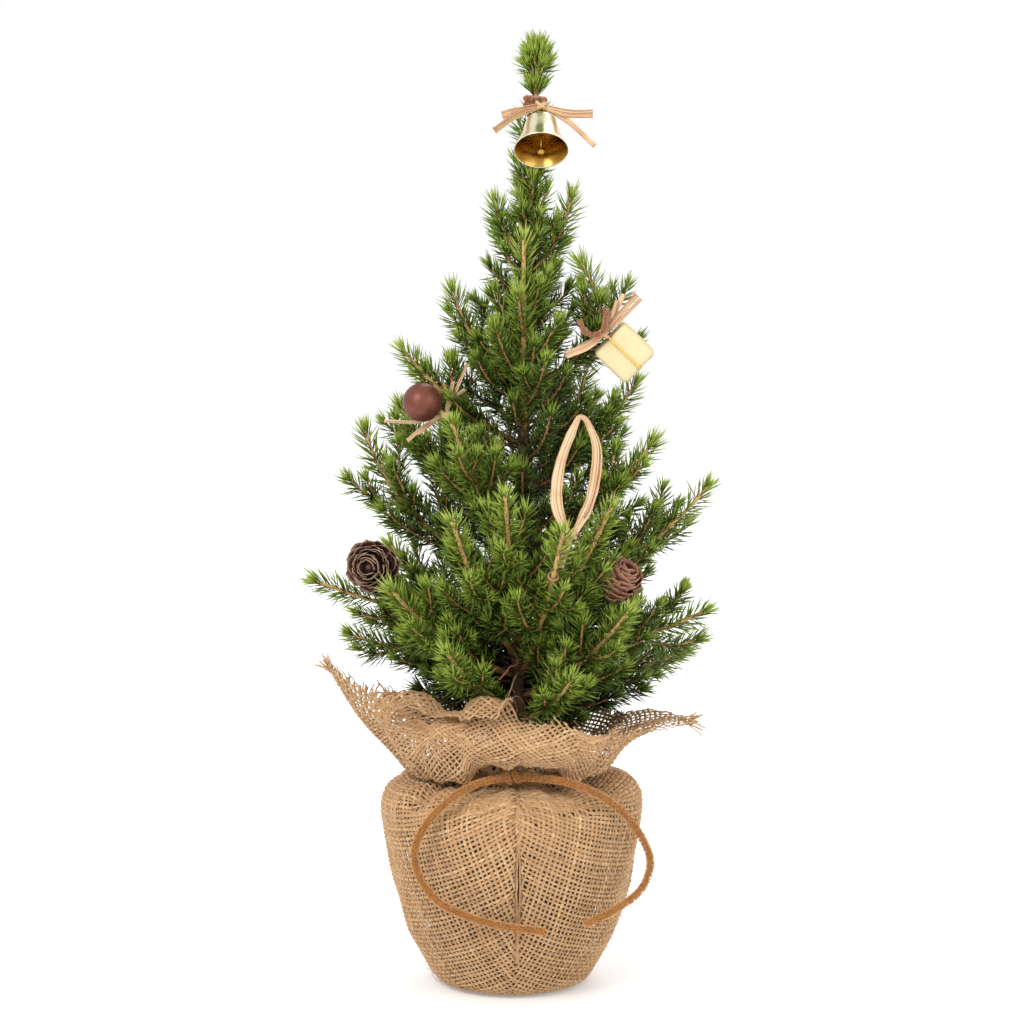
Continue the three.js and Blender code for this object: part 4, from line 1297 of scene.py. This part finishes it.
def make_bell():
    shape = Shape(CHAMPAGNE, AMBER)
    lines = (round_profile(BELL_OUTSIDE), round_profile(BELL_INSIDE)[::-1], BELL_LIP)
    outside, inside, lip = (BELL_SCALE * np.asarray(line) for line in lines)
    profiles = (np.vstack([outside, lip]), np.vstack([lip[-1:], inside, outside[:1]]))
    for material, profile in enumerate(profiles):
        faces = grid_faces(len(profile), 72, True)
        shape.add(turned_points(profile, 72), faces, 0.5, material)
    weld(shape.build("bell_shell", "bell", ["bell"]), 1e-6)

    loop = Shape(AMBER)
    eye = [bell_point(0, x, 2.2 + y) for x, y in hoop(1.9, 30)]
    stem = [bell_point(0, 0, z) for z in (0.5, -1, -2.6)]
    hook = [bell_point(x, 0, -3.9 + y) for x, y in hoop(1.5, 30)]
    for path in (eye, stem, hook):
        add_tube(loop, path, 0.45, 8, 0.6)
    loop.build("bell_eye", "bell", ["bell_loop"])

    clapper = Shape(AMBER)
    link = [clapper_point(x, -0.2 + y) for x, y in hoop(1.35, 24)]
    rod = [clapper_point(0, z) for z in (-1.6, -6, -10.2)]
    for path in (link, rod):
        add_tube(clapper, path, 0.4, 8, 0.4)
    add_ball(clapper, clapper_point(0, -10.9), 1.9, 20, 14, 0.45)
    clapper.build("clapper", "bell_clapper", ["bell_clapper"])


def weld(made, distance):
    """Joins coincident points, so that shells made in parts close."""
    modifier = made.modifiers.new("weld", "WELD")
    modifier.merge_threshold = distance


def make_bell_ties():
    shape = Shape(BROWN_PILE)
    rng = np.random.default_rng(41)
    centre = middle_of("bell_band")
    for height in (-0.8, 2.2):
        add_chenille(shape, ring_path(centre + UP * height, UP + (0.1, 0, 0), 4.2, 40), 0.6, 1.9, 44, rng)
    shape.build("leader_band", "tree", ["bell_band"])
    knot = (13.5, -8.9, 420.6)
    bow = Shape(RAFFIA)
    add_knot(bow, knot, 2.3)
    ring = [(13.5 + x, -7.5, 418.7 + y) for x, y in hoop(2.6, 26)]
    add_tube(bow, ring, 0.5, 8, 0.5)
    tails = [
        ([(3.5, -11.5, 418.4), (-4.6, -12, 416.2)], 3.8), ([(2, -12.5, 416.4), (-8.4, -14, 409.5)], 3.4),
        ([(25.5, -11.5, 417.4), (37.6, -12, 417.4)], 3.9), ([(26.5, -11.5, 413.2), (38.6, -12, 402.0)], 2.6),
    ]
    add_tails(bow, rng, knot, tails, 24, (0.3, 0.5, 0.95), 0.72, 0.35)
    bow.build("bell_raffia", "tree", ["bell_bow"])


def make_band(name, body, radius, pile, leg, replaces, material=BROWN_PILE):
    """A wire or chenille turn round a shoot, with a leg to what it carries."""
    shape = Shape(material)
    rng = np.random.default_rng(len(name) + 60)
    centre = joint_place(body)
    axis = np.array(JOINTS[body]["axis"])
    ring = ring_path(centre, axis, radius, 44)
    toward = np.array(leg[0], float) - centre
    start = unit(toward - axis * np.dot(toward, axis)) * radius + centre
    path = smooth_path([start, *leg], 22)
    if pile:
        add_chenille(shape, ring, 0.45, pile, 36, rng)
        add_chenille(shape, path, 0.45, pile * 0.85, 36, rng)
    else:
        add_tube(shape, ring, 0.55, 8, 0.5)
        add_tube(shape, path, 0.5, 8, 0.5)
    shape.build(name, body, [replaces])


def make_bauble():
    centre = middle_of("bauble")
    radius = 9.1
    up = unit(joint_place("bauble") - centre)
    shape = Shape(COPPER)
    add_ball(shape, centre, radius, 56, 36)
    shape.build("bauble_ball", "bauble", ["bauble"])
    cap = Shape(CHAMPAGNE)
    foot = centre + up * (radius - 0.1)
    steps = np.array([0, 0.35, 0.9, 2.2, 2.6])
    add_tube(cap, foot + up * steps[:, None], [3.3, 3.2, 2.7, 2.5, 1.2], 24, 0.5)
    add_tube(cap, ring_path(foot + up * 3.2, np.cross(up, (0, 1, 0.2)), 1.1, 20), 0.3, 6, 0.5)
    cap.build("bauble_crown", "bauble", ["bauble_cap"])
    make_band("bauble_hanger", "bauble", 3.4, 1.15, [foot + up * 3.4], "bauble_wire")
    tails = [
        ([(-45, -19, 273.5), (-59.7, -22, 274.5)], 1.8), ([(-41, -20, 271.5), (-49, -22, 265)], 2.0),
        ([(-26, -19, 289), (-20.6, -17, 301)], 1.5), ([(-28, -19, 284), (-22, -19, 289)], 2.2),
        ([(-29, -21, 286), (-27.5, -20, 293)], 1.8), ([(-35, -20, 275), (-44, -21, 268)], 1.6),
    ]
    make_bow("bauble_raffia", "bauble_bow", "bauble", (-31.5, -22, 277.5), tails)


GIFT_TURN = math.radians(44)
GIFT_HALF = np.array([10.25, 7.0, 10.25])
GIFT_POWER = 13.0  # the higher, the sharper the parcel's edges
CURL_LINE = [
    (31.5, -24, 322), (33.5, -30, 317.5), (38.5, -31, 315.5), (42.5, -29.5, 318), (43.6, -28.5, 323),
    (44, -28, 328),
]


def rounded(cube):
    """Points on a cube from -1 to 1, drawn in so that its edges are round."""
    return cube / (np.abs(cube) ** GIFT_POWER).sum(axis=-1, keepdims=True) ** (1 / GIFT_POWER)


def make_gift():
    rng = np.random.default_rng(77)
    centre = middle_of("gift_box")
    c, s = math.cos(GIFT_TURN), math.sin(GIFT_TURN)
    turn = np.array([[c, 0, s], [0, 1, 0], [-s, 0, c]])

    steps = 15
    a, b = np.meshgrid(np.linspace(-1, 1, steps), np.linspace(-1, 1, steps), indexing="ij")
    faces = grid_faces(steps, steps)
    shape = Shape(PAPER)
    for axis in range(3):
        for sign in (-1, 1):
            cube = np.zeros((steps, steps, 3))
            cube[..., axis] = sign
            cube[..., (axis + 1) % 3] = a
            cube[..., (axis + 2) % 3] = b
            points = rounded(cube) * GIFT_HALF
            waist = 1 - 0.05 * hump(points[..., 2:], 0, 1.6)
            points = (points * waist).reshape(-1, 3) @ turn.T + centre
            tone = 0.55 + 0.12 * rng.standard_normal()
            shape.add(points, faces if sign > 0 else faces[:, ::-1], np.full(len(points), tone))
    # The folds of the paper at both ends, painted darker as shade along the creases.
    for end in (-1, 1):
        for fold in (-1, 1):
            side, middle = (end * 10.35, fold * 6.4), (end * 10.5, fold * 1.5, 0)
            flap = smooth_path([(*side, -9), middle, (*side, 9)], 12)
            add_tube(shape, flap @ turn.T + centre, 0.16, 5, 0.3)
    weld(shape.build("gift_parcel", "gift", ["gift_box"]), 1e-5)

    cord = Shape(GOLD_THREAD)
    a = np.linspace(0, TURN, 220)
    ring = rounded(np.stack([np.cos(a), np.sin(a), 0 * a], axis=1))
    loop = ring * (GIFT_HALF[0] + 0.25, GIFT_HALF[1] + 0.25, 0)
    for strand, phase in enumerate((0, math.pi)):
        out = unit(ring) * (0.32 * np.cos(a * 22 + phase))[:, None]
        up = UP * (0.32 * np.sin(a * 22 + phase))[:, None]
        add_tube(cord, (loop + out + up) @ turn.T + centre, 0.34, 6, 0.55 + 0.1 * strand)
    cord.build("gift_gold_cord", "gift", ["gift_cord"])

    tails = [
        ([(50, -26.5, 325), (58, -26, 334)], 2.4), ([(47, -25, 324), (52, -23, 334)], 2.6),
        ([(35, -28, 310), (25, -28, 306)], 3.8), ([(50, -26.5, 322), (60, -26, 332)], 1.8),
        ([(46, -25.5, 322), (49, -24, 331)], 2.2), ([(36, -26, 312), (30, -25, 309)], 2.0),
    ]
    make_bow("gift_raffia", "gift_bow", "gift", (42.5, -26.5, 315.5), tails)
    curl = Shape(BROWN_PILE)
    add_chenille(curl, smooth_path(CURL_LINE, 50), 0.5, 1.7, 34, rng)
    curl.build("gift_curl", "gift")
    make_band("gift_hanger", "gift", 4.6, 1.7, [(42.5, -19, 321), (42.5, -23.2, 317.5)], "gift_band")


CONE_LENGTH = 24.0
CONE_RADIUS = 10.5
SCALE_ROWS = 7
SCALE_COLUMNS = 9
SCALE_THICK = 0.22


def add_scale(shape, rng, root, along, out, size, open_angle):
    """One woody scale: a shallow spoon with a thin wavy edge."""
    side = np.cross(out, along)
    side = np.cross(out, along)
    u = np.linspace(0, 1, SCALE_ROWS)[:, None]
    v = np.linspace(-1, 1, SCALE_COLUMNS)[None]
    shape_of = (SCALE_ROWS, SCALE_COLUMNS)
    width = size * 0.40 * np.sin(np.clip(u * 1.1 + 0.15, 0, 1) * math.pi * 0.56) * rng.uniform(0.9, 1.1)
    at_edge = u > 0.9
    reach = size * (u - 0.24 * v ** 2 * u ** 2) + rng.normal(0, 0.025 * size, shape_of) * at_edge
    rise = size * (0.12 * v ** 2 * u + 0.16 * u ** 3) + rng.normal(0, 0.02 * size, shape_of) * at_edge
    c, s = math.cos(open_angle), math.sin(open_angle)
    forward = along * c + out * s
    outward = out * c - along * s
    face = root + forward * reach[..., None] + side * (width * v)[..., None] - outward * rise[..., None]
    front = face.reshape(-1, 3)
    count = len(front)
    index = np.arange(count).reshape(shape_of)
    rim = np.concatenate([index[0], index[1:, -1], index[-1, -2::-1], index[-2:0:-1, 0]])
    after = np.roll(rim, -1)
    wall = np.stack([rim, after, after + count, rim + count], axis=1)
    quads = grid_faces(SCALE_ROWS, SCALE_COLUMNS)
    faces = np.vstack([quads[:, ::-1], quads + count, wall])
    tone = 0.30 + 0.62 * np.maximum(np.abs(v), u) ** 5 + rng.normal(0, 0.05)
    points = np.vstack([front, front + outward * SCALE_THICK])
    shape.add(points, faces, np.tile(tone.ravel(), 2))


def make_cone(name, axis, size, material, widest):
    rng = np.random.default_rng(len(name))
    centre = middle_of(name)
    axis = unit(np.array(axis))
    shape = Shape(material)
    side = unit(np.cross(axis, (0.1, 0.2, 1)))
    lift = np.cross(axis, side)
    foot = centre - axis * CONE_LENGTH / 2
    core = foot + axis * np.linspace(1.5, CONE_LENGTH - 4, 10)[:, None]
    add_tube(shape, core, CONE_RADIUS * 0.52 * np.sin(np.linspace(0.5, 2.7, 10)), 12, 0.1)
    scales = 56
    for k in range(scales):
        share = (k + 0.5) / scales
        angle = k * GOLDEN
        out = side * math.cos(angle) + lift * math.sin(angle)
        belly = math.sin(math.pi * (0.12 + 0.80 * share)) ** 0.7
        root = foot + axis * (1.2 + (CONE_LENGTH - 9.5) * share) + out * CONE_RADIUS * 0.40 * belly
        open_angle = math.radians(widest - 0.78 * widest * share + rng.normal(0, 6))
        add_scale(shape, rng, root, axis, out, size * (0.55 + 0.45 * belly), open_angle)
    add_ball(shape, foot + axis * (CONE_LENGTH - 5), 1.6, 10, 8, 0.6)
    shape.build(name + "_scales", name, [name])
    leg = [foot - axis * 3, foot + axis * 1.5]
    make_band(name + "_hanger", name, 2.3, 0, leg, name + "_wire", WIRE)


def make_moss():
    """Coir and moss inside the collar: a lumpy disc with loose fibres."""
    rng = np.random.default_rng(55)
    shape = Shape(COIR)
    low, high = (np.array(corner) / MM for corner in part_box("moss_disc"))
    radius = (high[0] - low[0]) / 2 - 0.6
    rings, around = 22, 60
    r = np.linspace(4.6, radius, rings)[:, None]
    a = np.linspace(0, TURN, around, endpoint=False)[None]
    bumps = high[2] - 0.9 + rng.uniform(-0.7, 0.8, (rings, around))
    top = np.stack([r * np.cos(a) + trunk_x(90) * (1 - r / radius), r * np.sin(a), bumps], axis=2)
    bottom = top.copy()
    bottom[..., 2] = low[2] + 0.2
    ring = np.concatenate([top.reshape(-1, 3), bottom.reshape(-1, 3)])
    faces = grid_faces(rings, around, wrap=True)
    total = rings * around
    inner = np.stack([np.arange(around), (np.arange(around) + 1) % around], axis=1)
    outer = inner + (rings - 1) * around
    walls = [
        np.hstack([inner[:, ::-1], inner + total])[:, ::-1],
        np.hstack([outer, outer[:, ::-1] + total])[:, ::-1],
    ]
    faces = np.vstack([faces, faces[:, ::-1] + total, *walls])
    shape.add(ring, faces, rng.uniform(0.25, 0.7, 2 * total))
    count = 1500
    angle = rng.uniform(0, TURN, count)
    reach = radius * np.sqrt(rng.uniform(0.02, 0.9, count))
    base = np.stack([reach * np.cos(angle), reach * np.sin(angle), np.full(count, high[2] - 0.9)], axis=1)
    base = base[np.hypot(base[:, 0] - 2.4, base[:, 1]) > 5.5]
    aim = rng.normal(0, 1, base.shape)
    aim[:, 2] = np.abs(aim[:, 2]) * 0.45 + 0.1
    tone = rng.uniform(0.3, 1.0, len(base))
    add_spikes(shape, base, aim, rng.uniform(3, 7, len(base)), 0.35, 0.0, tone - 0.2, tone)
    shape.build("moss_and_coir", "tree", ["moss_disc"])


# ---------------------------------------------------------------- the whole tree

add_camera()
add_studio()
finish_cad_nodes()
make_burlap()
make_tie()
make_moss()
make_trunk()
make_leader()
make_inner_twigs()
for number, branch in enumerate(sorted(body for body in JOINTS if body.startswith("branch_"))):
    make_branch(branch, number)
make_dry_twig()
make_bell()
make_bell_ties()
make_bauble()
make_gift()
make_cone("cone_left", (-0.25, -0.95, 0.12), 12.4, SCALE, 74)
make_cone("cone_right", (0.42, -0.45, 0.72), 11.0, RED_SCALE, 58)
make_raffia_loop()
